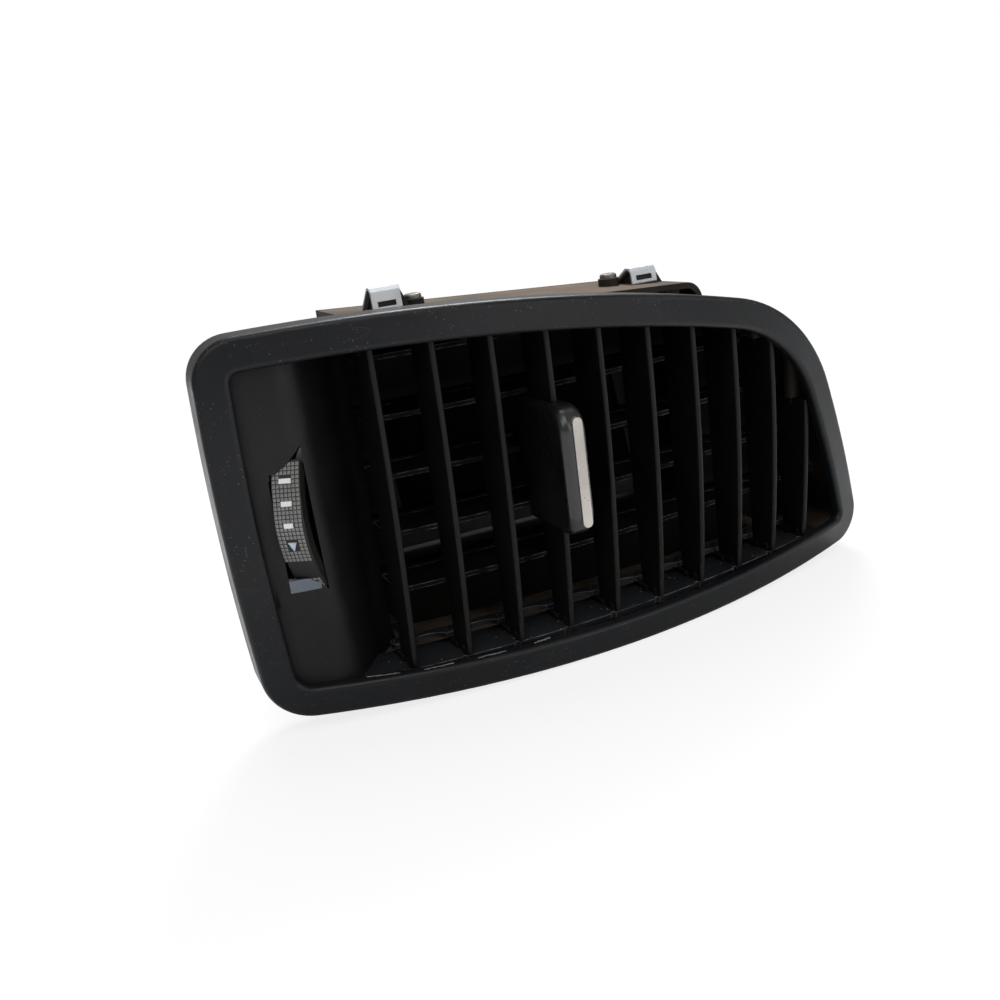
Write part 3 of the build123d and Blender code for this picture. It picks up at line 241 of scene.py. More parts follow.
class Effects:
    """The shader groups that more than one finish uses, each built once.

    A noise is given by its turns per metre, its finer layers and their strength, and a span by the
    values that give 0 and 1.
    """

    CLOUD = (38.0, 5.0, 0.6)
    PATCH = (140.0, 3.0)
    DOT_SPAN: Span = (0.05, 0.19)
    CHOSEN_SPAN: Span = (0.5, 1.0)
    PATCH_SPAN: Span = (0.34, 0.62)
    UPWARD_SPAN: Span = (0.25, 1.0)
    FILM_SPAN: Span = (0.3, 0.8)
    SETTLED_SPAN: Span = (0.15, 0.65)
    GRAIN = (2.0, 0.6)
    EDGE_RADIUS = 0.5 * MM
    EDGE_SPAN: Span = (0.8, 0.995)
    BROKEN = (220.0, 4.0, 0.65)
    BROKEN_SPAN: Span = (0.35, 0.65)
    SCRATCH_TURN: Colour = (0.3, 0.5, 0.35)
    SCRATCH_STRETCH: Colour = (30.0, 260.0, 260.0)
    SCRATCH_SPAN: Span = (0.0, 0.012)
    SCRATCH_PATCH = (55.0, 2.0)
    SCRATCH_PATCH_SPAN: Span = (0.56, 0.7)
    BEVEL_SAMPLES = 4

    def __init__(self) -> None:
        """Build all groups."""
        self.dust = self._dust()
        self.grain = self._grain()
        self.wear_and_highlight = self._wear_and_highlight()
        self.scratches = self._scratches()

    @classmethod
    def _dust(cls) -> bpy.types.NodeTree:
        """Dust: fine specks and a cloudy film that lies thicker on upper sides.

        Returns:
            The group's tree.
        """
        inputs = {"Base Color": (0.02, 0.02, 0.02, 1), "Dust Color": (0.2, 0.17, 0.14, 1), "Specks": 0.5,
                  "Film": 0.1, "Settled": 0.3, "Speck Scale": 1400.0}
        outputs = {"Color": "NodeSocketColor", "Mask": "NodeSocketFloat"}
        group = Group.start("dust", inputs, outputs)
        nodes = group.nodes
        place = nodes.add("ShaderNodeTexCoord").outputs["Object"]
        cloud = nodes.noise(place, *cls.CLOUD)
        patch = nodes.noise(place, *cls.PATCH)
        cells = nodes.add("ShaderNodeTexVoronoi", feature="F1")
        nodes.join(place, cells.inputs["Vector"])
        nodes.join(group.given.outputs["Speck Scale"], cells.inputs["Scale"])
        dot = nodes.math("SUBTRACT", 1.0, nodes.ramp(cells.outputs["Distance"], *cls.DOT_SPAN))
        tone = nodes.add("ShaderNodeSeparateColor")
        nodes.join(cells.outputs["Color"], tone.inputs[0])
        chosen = nodes.ramp(tone.outputs[0], *cls.CHOSEN_SPAN)
        dots = nodes.math("MULTIPLY", dot, chosen)
        here = nodes.math("MULTIPLY", nodes.ramp(patch, *cls.PATCH_SPAN), dots)
        specks = nodes.math("MULTIPLY", here, group.given.outputs["Specks"])
        normal = nodes.add("ShaderNodeNewGeometry").outputs["Normal"]
        upward = nodes.add("ShaderNodeSeparateXYZ")
        nodes.join(normal, upward.inputs[0])
        flat = nodes.ramp(upward.outputs["Z"], *cls.UPWARD_SPAN)
        lying = nodes.math("MULTIPLY", flat, group.given.outputs["Settled"])
        film = nodes.math("MULTIPLY", nodes.ramp(cloud, *cls.FILM_SPAN), group.given.outputs["Film"])
        settled = nodes.math("MULTIPLY", lying, nodes.ramp(cloud, *cls.SETTLED_SPAN))
        layer = nodes.math("ADD", film, settled)
        mask = nodes.math("MINIMUM", nodes.math("ADD", specks, layer), 1.0)
        group.give_mixed(mask, "Dust Color")
        return group.tree

    @classmethod
    def _grain(cls) -> bpy.types.NodeTree:
        """Fine moulded grain, as a height.

        Returns:
            The group's tree.
        """
        group = Group.start("moulded_grain", {"Scale": 2600.0}, {"Height": "NodeSocketFloat"})
        place = group.nodes.add("ShaderNodeTexCoord").outputs["Object"]
        fine = group.nodes.noise(place, group.given.outputs["Scale"], *cls.GRAIN)
        group.nodes.join(fine, group.made.inputs["Height"])
        return group.tree

    @classmethod
    def _wear_and_highlight(cls) -> bpy.types.NodeTree:
        """The paler rub along edges; on some finishes it is a painted highlight on lit edges.

        Returns:
            The group's tree.
        """
        inputs = {"Base Color": (0.02, 0.02, 0.02, 1), "Wear and Highlight Color": (0.09, 0.09, 0.09, 1), "Amount": 0.5}
        outputs = {"Color": "NodeSocketColor", "Mask": "NodeSocketFloat"}
        group = Group.start("edge_wear_and_highlight", inputs, outputs)
        nodes = group.nodes
        rounded = nodes.add("ShaderNodeBevel", samples=cls.BEVEL_SAMPLES)
        rounded.inputs["Radius"].default_value = cls.EDGE_RADIUS
        flat = nodes.add("ShaderNodeNewGeometry").outputs["Normal"]
        along = nodes.add("ShaderNodeVectorMath", operation="DOT_PRODUCT")
        nodes.join(rounded.outputs["Normal"], along.inputs[0])
        nodes.join(flat, along.inputs[1])
        edge = nodes.math("SUBTRACT", 1.0, nodes.ramp(along.outputs["Value"], *cls.EDGE_SPAN))
        place = nodes.add("ShaderNodeTexCoord").outputs["Object"]
        broken = nodes.ramp(nodes.noise(place, *cls.BROKEN), *cls.BROKEN_SPAN)
        mask = nodes.math("MULTIPLY", nodes.math("MULTIPLY", edge, broken), group.given.outputs["Amount"])
        group.give_mixed(mask, "Wear and Highlight Color")
        return group.tree

    @classmethod
    def _scratches(cls) -> bpy.types.NodeTree:
        """Sparse hair scratches that run one way, as a mask.

        Returns:
            The group's tree.
        """
        group = Group.start("hair_scratches", {"Amount": 0.5}, {"Mask": "NodeSocketFloat"})
        nodes = group.nodes
        place = nodes.add("ShaderNodeTexCoord").outputs["Object"]
        turned = nodes.add("ShaderNodeMapping")
        nodes.join(place, turned.inputs["Vector"])
        turned.inputs["Rotation"].default_value = cls.SCRATCH_TURN
        turned.inputs["Scale"].default_value = cls.SCRATCH_STRETCH
        lines = nodes.noise(turned.outputs["Vector"], 1.0, 0.0)
        beside = nodes.math("ABSOLUTE", nodes.math("SUBTRACT", lines, 0.5))
        thin = nodes.math("SUBTRACT", 1.0, nodes.ramp(beside, *cls.SCRATCH_SPAN))
        where = nodes.ramp(nodes.noise(place, *cls.SCRATCH_PATCH), *cls.SCRATCH_PATCH_SPAN)
        mask = nodes.math("MULTIPLY", nodes.math("MULTIPLY", thin, where), group.given.outputs["Amount"])
        nodes.join(mask, group.made.inputs["Mask"])
        return group.tree


@dataclass(frozen=True)
class Finish:
    """A moulded or metal finish: its colour, gloss, grain, dust, paler edges (rub, and on some finishes a
    painted highlight) and scratches.
    """

    name: str
    colour: Colour
    roughness: float = 0.5
    metallic: float = 0.0
    specular: float = 0.35
    coat: float = 0.0
    blotch: float = 0.25
    dust_colour: Colour = (0.16, 0.14, 0.12)
    specks: float = 0.4
    film: float = 0.05
    settled: float = 0.1
    speck_scale: float = 1400.0
    wear_and_highlight_colour: Colour = (0.08, 0.08, 0.085)
    wear_and_highlight: float = 0.4
    scratch: float = 0.2
    grain_scale: float = 2600.0
    grain_height: float = 0.03
    softness: float = 0.25

    COAT_ROUGHNESS = 0.18
    BLOTCHES = (26.0, 4.0, 0.6)
    SMEARS = (70.0, 4.0, 0.6)
    CLOUD_SPAN = (0.25, 0.75)
    UNEVEN = 0.12
    DUST_DULLS = 0.4
    BUMP_STRENGTH = 0.5

    def build(self, effects: Effects) -> bpy.types.Material:
        """Make the material.

        Args:
            effects: The shared shader groups.

        Returns:
            The new material.
        """
        material = bpy.data.materials.new(self.name)
        material.use_nodes = True
        material.node_tree.nodes.clear()
        nodes = Nodes(material.node_tree)
        shader = nodes.add("ShaderNodeBsdfPrincipled")
        nodes.join(shader.outputs[0], nodes.add("ShaderNodeOutputMaterial").inputs["Surface"])
        shader.inputs["Metallic"].default_value = self.metallic
        shader.inputs["Specular IOR Level"].default_value = self.specular
        shader.inputs["Coat Weight"].default_value = self.coat
        shader.inputs["Coat Roughness"].default_value = self.COAT_ROUGHNESS

        place = nodes.add("ShaderNodeTexCoord").outputs["Object"]
        cloud = nodes.ramp(nodes.noise(place, *self.BLOTCHES), *self.CLOUD_SPAN)
        deep = tuple(part * (1 - self.blotch) for part in self.colour)
        pale = tuple(part * (1 + self.blotch) for part in self.colour)
        ground = nodes.mix(cloud, (*deep, 1), (*pale, 1))

        # Paler edges: real rub on most finishes, a painted highlight on the lit edges of the level vanes,
        # airway floor, knurl and seam line.
        wear_and_highlight = self._group(nodes, effects.wear_and_highlight, {"Base Color": ground, "Wear and Highlight Color": (*self.wear_and_highlight_colour, 1),
                                                 "Amount": self.wear_and_highlight})
        scratch = self._group(nodes, effects.scratches, {"Amount": self.scratch})
        rubbed_and_highlit = nodes.mix(scratch.outputs["Mask"], wear_and_highlight.outputs["Color"], (*self.wear_and_highlight_colour, 1))
        dust = self._group(nodes, effects.dust, {"Base Color": rubbed_and_highlit, "Dust Color": (*self.dust_colour, 1),
                                                 "Specks": self.specks, "Film": self.film,
                                                 "Settled": self.settled, "Speck Scale": self.speck_scale})
        nodes.join(dust.outputs["Color"], shader.inputs["Base Color"])

        smear = nodes.ramp(nodes.noise(place, *self.SMEARS), *self.CLOUD_SPAN)
        spread = nodes.math("MULTIPLY", smear, self.UNEVEN)
        uneven = nodes.math("ADD", self.roughness - self.UNEVEN / 2, spread)
        dull = nodes.math("MULTIPLY", dust.outputs["Mask"], self.DUST_DULLS)
        nodes.join(nodes.math("MINIMUM", nodes.math("ADD", uneven, dull), 1.0), shader.inputs["Roughness"])

        grain = self._group(nodes, effects.grain, {"Scale": self.grain_scale})
        bump = nodes.add("ShaderNodeBump")
        bump.inputs["Strength"].default_value = self.BUMP_STRENGTH
        bump.inputs["Distance"].default_value = self.grain_height * MM
        nodes.join(grain.outputs["Height"], bump.inputs["Height"])
        soft = nodes.add("ShaderNodeBevel", samples=Effects.BEVEL_SAMPLES)
        soft.inputs["Radius"].default_value = self.softness * MM
        nodes.join(soft.outputs["Normal"], bump.inputs["Normal"])
        nodes.join(bump.outputs["Normal"], shader.inputs["Normal"])
        return material

    @staticmethod
    def _group(nodes: Nodes, group: bpy.types.NodeTree,
               values: dict[str, object]) -> bpy.types.Node:
        """Place a shared group with its own values.

        Args:
            nodes: Helper of the material's tree.
            group: The shared group.
            values: Value or link of each input.

        Returns:
            The group's node.
        """
        node = nodes.add("ShaderNodeGroup", node_tree=group)
        for name, value in values.items():
            nodes.feed(node.inputs[name], value)
        return node


BEZEL_PAINT = Finish("bezel_paint", (0.0038, 0.0045, 0.0058), roughness=0.38, specular=0.23,
                     specks=0.9, film=0.006, settled=0.01, speck_scale=1400.0,
                     dust_colour=(0.3, 0.28, 0.25), wear_and_highlight=0.35, wear_and_highlight_colour=(0.05, 0.05, 0.053),
                     scratch=0.22)
PANEL_BLACK = Finish("panel_black", (0.0042, 0.0045, 0.0055), roughness=0.5, specular=0.22,
                     specks=1.0, film=0.035, settled=0.05, dust_colour=(0.13, 0.10, 0.08), wear_and_highlight=0.3,
                     wear_and_highlight_colour=(0.03, 0.03, 0.03), scratch=0.1)
VANE_BLACK = Finish("vane_black", (0.0026, 0.0023, 0.0022), roughness=0.5, specular=0.2, specks=0.5,
                    film=0.015, settled=0.05, dust_colour=(0.10, 0.08, 0.065), wear_and_highlight=0.7,
                    wear_and_highlight_colour=(0.035, 0.033, 0.032), scratch=0.1)
# Level vanes: the pale edge colour at full amount is a painted highlight on their lit front edges.
LEVEL_BLACK = Finish("level_vane_black", (0.0024, 0.0023, 0.0023), roughness=0.6, specular=0.1,
                     specks=0.3, film=0.01, settled=0.02, dust_colour=(0.12, 0.11, 0.10), wear_and_highlight=1.0,
                     wear_and_highlight_colour=(0.24, 0.235, 0.23), scratch=0.1)
# Airway floor and link bar: the pale edge colour is a painted highlight for the glints on their front edges
# and pins.
FLOOR_BLACK = Finish("airway_floor_black", (0.005, 0.0055, 0.0068), roughness=0.36, specular=0.45,
                     specks=0.4, film=0.08, settled=0.2, dust_colour=(0.045, 0.05, 0.06), wear_and_highlight=0.9,
                     wear_and_highlight_colour=(0.22, 0.22, 0.22))
KNOB_BLACK = Finish("knob_black", (0.005, 0.0052, 0.006), roughness=0.3, specular=0.45, coat=0.3,
                    specks=0.4, film=0.01, settled=0.02, wear_and_highlight=0.3, wear_and_highlight_colour=(0.04, 0.042, 0.045),
                    scratch=0.1)
WHEEL_BLACK = Finish("wheel_black", (0.006, 0.0055, 0.005), roughness=0.45, specular=0.3, specks=0.4,
                     film=0.02, settled=0.03, dust_colour=(0.12, 0.10, 0.085), wear_and_highlight=0.6,
                     wear_and_highlight_colour=(0.07, 0.06, 0.05))
# Knurl: the grey colour and pale edges are a painted highlight on the pyramids.
KNURL_HIGHLIGHT_GREY = Finish("knurl_painted_highlight", (0.12, 0.12, 0.118), roughness=0.3, specular=0.5, specks=0.3,
                    film=0.04, settled=0.05, dust_colour=(0.12, 0.11, 0.1), wear_and_highlight=0.9,
                    wear_and_highlight_colour=(0.2, 0.2, 0.2), scratch=0.0, grain_height=0.01, softness=0.03)
# Seam line: its pale colour is a painted highlight, the glints along the floor's front edge.
SEAM_HIGHLIGHT = Finish("seam_painted_highlight", (0.20, 0.19, 0.18), roughness=0.3, specular=0.5, specks=0.2, film=0.1,
                   wear_and_highlight=0.2, wear_and_highlight_colour=(0.4, 0.39, 0.37), softness=0.05)
HOUSING_BROWN = Finish("housing_dusty", (0.008, 0.0065, 0.0055), roughness=0.6, specular=0.2,
                       specks=0.5, film=0.07, settled=0.9, speck_scale=700.0,
                       dust_colour=(0.155, 0.115, 0.085), wear_and_highlight=0.4, wear_and_highlight_colour=(0.13, 0.105, 0.085))
DUCT_BLACK = Finish("duct_black", (0.006, 0.0055, 0.0052), roughness=0.75, specular=0.12, specks=0.4,
                    film=0.05, settled=0.12, speck_scale=900.0, dust_colour=(0.13, 0.10, 0.08),
                    wear_and_highlight=0.3)
BLOCK_BLUE = Finish("block_grey_blue", (0.085, 0.102, 0.128), roughness=0.45, specular=0.35,
                    specks=0.25, film=0.05, wear_and_highlight=0.4, wear_and_highlight_colour=(0.16, 0.18, 0.2))
TRIM_BRIGHT = Finish("trim_bright", (0.40, 0.375, 0.345), roughness=0.3, metallic=0.7, specular=0.5,
                     specks=0.12, film=0.03, settled=0.05, wear_and_highlight=0.2, wear_and_highlight_colour=(0.5, 0.48, 0.46),
                     scratch=0.2, grain_height=0.008)
CLIP_STEEL = Finish("clip_steel", (0.42, 0.44, 0.465), roughness=0.45, metallic=0.45, specular=0.5,
                    specks=0.3, film=0.06, settled=0.06, dust_colour=(0.2, 0.17, 0.14), wear_and_highlight=0.3,
                    wear_and_highlight_colour=(0.6, 0.62, 0.64), scratch=0.15, grain_height=0.015)
SCREW_METAL = Finish("screw_metal", (0.16, 0.16, 0.155), roughness=0.42, metallic=0.85, specular=0.5,
                     specks=0.3, film=0.2, settled=0.25, dust_colour=(0.15, 0.13, 0.11), wear_and_highlight=0.4,
                     wear_and_highlight_colour=(0.35, 0.34, 0.33))
DAMPER_BLACK = Finish("damper_black", (0.0025, 0.0024, 0.0023), roughness=0.8, specular=0.04,
                      specks=0.2, film=0.01, settled=0.03, wear_and_highlight=0.1, wear_and_highlight_colour=(0.01, 0.01, 0.01),
                      scratch=0.0)
FOAM_GREY = Finish("foam_grey", (0.03, 0.03, 0.034), roughness=0.9, specular=0.15, specks=0.4,
                   film=0.15, settled=0.2, wear_and_highlight=0.1, scratch=0.0, grain_scale=1500.0,
                   grain_height=0.35)
MARK_WHITE = Finish("mark_white", (0.62, 0.63, 0.65), roughness=0.5, specular=0.3, blotch=0.06,
                    specks=0.15, film=0.06, settled=0.03, dust_colour=(0.25, 0.22, 0.2), wear_and_highlight=0.2,
                    wear_and_highlight_colour=(0.4, 0.4, 0.4), scratch=0.05)
MARK_BLUE = Finish("mark_pale_blue", (0.36, 0.43, 0.52), roughness=0.5, specular=0.3, blotch=0.06,
                   specks=0.15, film=0.06, dust_colour=(0.2, 0.2, 0.2), wear_and_highlight=0.2,
                   wear_and_highlight_colour=(0.3, 0.33, 0.38), scratch=0.05)


class Finishes:
    """Builds each finish the first time that it is asked for."""

    def __init__(self) -> None:
        """Start with the shared effects and no material."""
        self.effects = Effects()
        self.made: dict[str, bpy.types.Material] = {}

    def get(self, finish: Finish) -> bpy.types.Material:
        """The material of a finish.

        Args:
            finish: The finish.

        Returns:
            Its material, the same one each time.
        """
        if finish.name not in self.made:
            self.made[finish.name] = finish.build(self.effects)
        return self.made[finish.name]

    def dress(self, node: str, finish: Finish) -> None:
        """Give a CAD node a finish.

        Args:
            node: The node's name.
            finish: The finish for all its faces.
        """
        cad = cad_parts[node]
        if not cad.material_slots:
            cad.data.materials.append(None)
        for slot in cad.material_slots:
            slot.material = self.get(finish)
        LOG.info("%s: %s", node, finish.name)


def add_piece(name: str, mesh: bmesh.types.BMesh, body: str, material: bpy.types.Material,
              smooth: bool = False) -> bpy.types.Object:
    """Turn a mesh into a piece that rides on a body.

    Args:
        name: The piece's name.
        mesh: Its mesh in metres, in the shared frame.
        body: Body that it moves with.
        material: Its finish.
        smooth: Whether its faces are shaded smooth.

    Returns:
        The piece.
    """
    bmesh.ops.recalc_face_normals(mesh, faces=mesh.faces)
    for face in mesh.faces:
        face.smooth = smooth
    data = bpy.data.meshes.new(name)
    mesh.to_mesh(data)
    mesh.free()
    piece = bpy.data.objects.new(name, data)
    bpy.context.scene.collection.objects.link(piece)
    data.materials.append(material)
    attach(piece, body)
    LOG.info("%s: %d faces on %s", name, len(data.polygons), body)
    return piece


CORNERS = ((-1, -1), (1, -1), (1, 1), (-1, 1))


def close_ring(mesh: bmesh.types.BMesh, near: list, away: list) -> None:
    """Join two rings of as many points with a band of faces.

    Args:
        mesh: Mesh that they are in.
        near: The first ring.
        away: The second ring.
    """
    for index in range(len(near)):
        following = (index + 1) % len(near)
        mesh.faces.new((near[index], near[following], away[following], away[index]))


@dataclass
class Thumbwheel:
    """Knurling and marks of the wheel, in the wheel's own frame: across, up its rim and out of it."""

    centre: Vector = field(default_factory=lambda: Vector((-75.9885, 32.686, 6.5)) * MM)
    turn: float = math.radians(33.0)
    radius: float = 30.5 * MM
    columns: int = 7
    column_pitch: float = 1.08 * MM
    row_pitch: float = math.radians(2.18)
    lean: float = math.tan(math.radians(3.2))
    knurl_height: float = 0.28 * MM
    knurl_root: float = 0.75 * MM
    stud_share: float = 0.4
    stud_foot: float = 0.02 * MM
    plain_columns: int = 2
    mark_margin: float = 0.95
    pad_height: float = 0.2 * MM
    across_shift: float = -0.15 * MM
    drift_limit: float = 0.2 * MM
    fields: tuple[tuple[float, float], ...] = ((-22.0, 31.0), (-109.0, -34.0))
    mark_angles: tuple[float, ...] = (21.5, 10.3, -0.7)
    mark_widths: tuple[float, ...] = (3.3, 3.0, 2.6)
    mark_tall: float = math.radians(2.5)
    arrow_base: float = math.radians(-9.7)
    arrow_tip: float = math.radians(-14.7)
    arrow_width: float = 2.4 * MM

    def point(self, across: float, angle: float, out: float) -> Vector:
        """A point on the rim.

        Args:
            across: Distance along the axle.
            angle: Angle up from the wheel's front.
            out: Distance out from the rim's surface.

        Returns:
            The point in the shared frame.
        """
        reach = self.radius + out
        along = Vector((math.cos(self.turn), -math.sin(self.turn), 0.0))
        back = Vector((math.sin(self.turn), math.cos(self.turn), 0.0))
        up = Vector((0.0, 0.0, 1.0))
        drift = self.across_shift + self.lean * reach * math.sin(angle)
        shift = across + max(-self.drift_limit, min(self.drift_limit, drift))
        ahead = -back * (reach * math.cos(angle))
        return self.centre + along * shift + ahead + up * (reach * math.sin(angle))

    def is_marked(self, column: int, angle: float) -> bool:
        """Whether a mark's pad takes the place of a pyramid.

        Args:
            column: Column from the left, counted from 0.
            angle: The pyramid's middle angle.

        Returns:
            True where the pad is.
        """
        if not self.plain_columns <= column < self.columns - self.plain_columns:
            return False
        reach = self.row_pitch * self.mark_margin
        half = self.row_pitch / 2
        near = any(abs(angle - math.radians(middle)) < reach for middle in self.mark_angles)
        return near or self.arrow_tip - half < angle < self.arrow_base + half

    def knurl(self) -> bmesh.types.BMesh:
        """The rows of small pyramids.

        Returns:
            The mesh.
        """
        mesh = bmesh.new()
        half = self.column_pitch * self.stud_share
        half_row = self.row_pitch * self.stud_share
        for low, high in self.fields:
            rows = int(math.radians(high - low) / self.row_pitch)
            for row in range(rows):
                angle = math.radians(high) - (row + 0.5) * self.row_pitch
                for column in range(self.columns):
                    if self.is_marked(column, angle):
                        continue
                    across = (column - (self.columns - 1) / 2) * self.column_pitch
                    self._stud(mesh, across, angle, half, half_row, self.knurl_height, peak=True)
        return mesh

    def _stud(self, mesh: bmesh.types.BMesh, across: float, angle: float, half: float, half_row: float,
              height: float, peak: bool) -> None:
        """One closed stud on the rim, with a peak or a flat top.

        Args:
            mesh: Mesh that it goes into.
            across: Its middle along the axle.
            angle: Its middle angle.
            half: Half its width.
            half_row: Half its angle.
            height: Its height over the rim.
            peak: Whether it ends in a point.
        """
        plan = [(across + x * half, angle + y * half_row) for x, y in CORNERS]
        root = [mesh.verts.new(self.point(*corner, -self.knurl_root)) for corner in plan]
        foot_out = self.stud_foot if peak else height
        foot = [mesh.verts.new(self.point(*corner, foot_out)) for corner in plan]
        mesh.faces.new(root)
        close_ring(mesh, root, foot)
        if peak:
            tip = mesh.verts.new(self.point(across, angle, height))
            for index in range(len(foot)):
                mesh.faces.new((foot[index], foot[(index + 1) % len(foot)], tip))
        else:
            mesh.faces.new(foot)

    def marks(self) -> bmesh.types.BMesh:
        """The white bars, each on a flat pad.

        Returns:
            The mesh.
        """
        mesh = bmesh.new()
        for angle, width in zip(self.mark_angles, self.mark_widths):
            self._stud(mesh, 0.0, math.radians(angle), width * MM / 2, self.mark_tall / 2, self.pad_height,
                       peak=False)
        return mesh

    def arrow(self) -> bmesh.types.BMesh:
        """The pale triangle that points down.

        Returns:
            The mesh.
        """
        mesh = bmesh.new()
        half = self.arrow_width / 2
        plan = ((-half, self.arrow_base), (half, self.arrow_base), (0.0, self.arrow_tip))
        low = [mesh.verts.new(self.point(across, angle, -self.knurl_root)) for across, angle in plan]
        high = [mesh.verts.new(self.point(across, angle, self.pad_height)) for across, angle in plan]
        mesh.faces.new(low)
        mesh.faces.new(high)
        close_ring(mesh, low, high)
        return mesh

    def build(self, finishes: Finishes) -> None:
        """Build and dress the wheel.

        Args:
            finishes: Where the materials come from.
        """
        finishes.dress("thumbwheel", WHEEL_BLACK)
        # The knurl's grey finish is a painted highlight on the pyramids.
        add_piece("wheel_knurl", self.knurl(), "wheel", finishes.get(KNURL_HIGHLIGHT_GREY))
        add_piece("wheel_marks", self.marks(), "wheel", finishes.get(MARK_WHITE))
        add_piece("wheel_arrow", self.arrow(), "wheel", finishes.get(MARK_BLUE))


@dataclass
class WheelShroud:
    """Thin dark wall behind the panel, left of the wheel, which closes the view past the wheel's rim."""

    wheel: Thumbwheel = field(default_factory=Thumbwheel)
    left: float = -8.6 * MM
    right: float = -7.8 * MM
    front: float = -28.4 * MM
    back: float = 9.0 * MM
    low: float = -24.0 * MM
    high: float = 17.0 * MM

    def build(self, finishes: Finishes) -> None:
        """Build the wall.

        Args:
            finishes: Where the materials come from.
        """
        mesh = bmesh.new()
        first = Vector((self.left, self.front, self.low))
        last = Vector((self.right, self.back, self.high))
        place = Matrix.Translation(self.wheel.centre) @ Matrix.Rotation(-self.wheel.turn, 4, "Z")
        shape = Matrix.Translation((first + last) / 2) @ Matrix.Diagonal((*(last - first), 1.0))
        bmesh.ops.create_cube(mesh, size=1.0, matrix=place @ shape)
        add_piece("wheel_shroud", mesh, "frame", finishes.get(DUCT_BLACK))


@dataclass
class FloorSeamHighlight:
    """The broken pale line where the airway's floor meets the bezel's lower lip, a painted highlight for
    the glints along that edge.
    """

    runs: tuple[tuple[Colour, Colour], ...] = (
        ((-78.3, 12.9, -44.0), (-69.2, 10.7, -44.7)), ((-62.3, 9.3, -45.2), (-53.5, 8.9, -45.6)),
        ((-46.3, 8.4, -46.0), (-37.4, 8.3, -46.4)), ((-28.1, 8.8, -46.7), (-22.5, 9.4, -46.9)))
    steps: int = 14
    half_width: float = 0.22 * MM
    rise: float = 0.12 * MM
    sink: float = 0.3 * MM
    sway: float = 0.18 * MM
    width_change: Span = (0.5, 1.3)
    rise_change: Span = (0.6, 1.4)
    seed: int = 11

    def build(self, finishes: Finishes) -> None:
        """Build the line's runs.

        Args:
            finishes: Where the materials come from.
        """
        draw = random.Random(self.seed)
        mesh = bmesh.new()
        for start, end in self.runs:
            rings = []
            for step in range(self.steps + 1):
                middle = Vector(start).lerp(Vector(end), step / self.steps) * MM
                middle.y += draw.uniform(-self.sway, self.sway)
                half = self.half_width * draw.uniform(*self.width_change)
                top = self.rise * draw.uniform(*self.rise_change)
                corners = ((-half, -self.sink), (half, -self.sink), (half, top), (-half, top))
                rings.append([mesh.verts.new(middle + Vector((0.0, y, z))) for y, z in corners])
            for near, away in zip(rings, rings[1:]):
                close_ring(mesh, near, away)
            mesh.faces.new(rings[0])
            mesh.faces.new(rings[-1])
        # The seam's pale finish is a painted highlight.
        add_piece("floor_seam_highlight", mesh, "frame", finishes.get(SEAM_HIGHLIGHT))


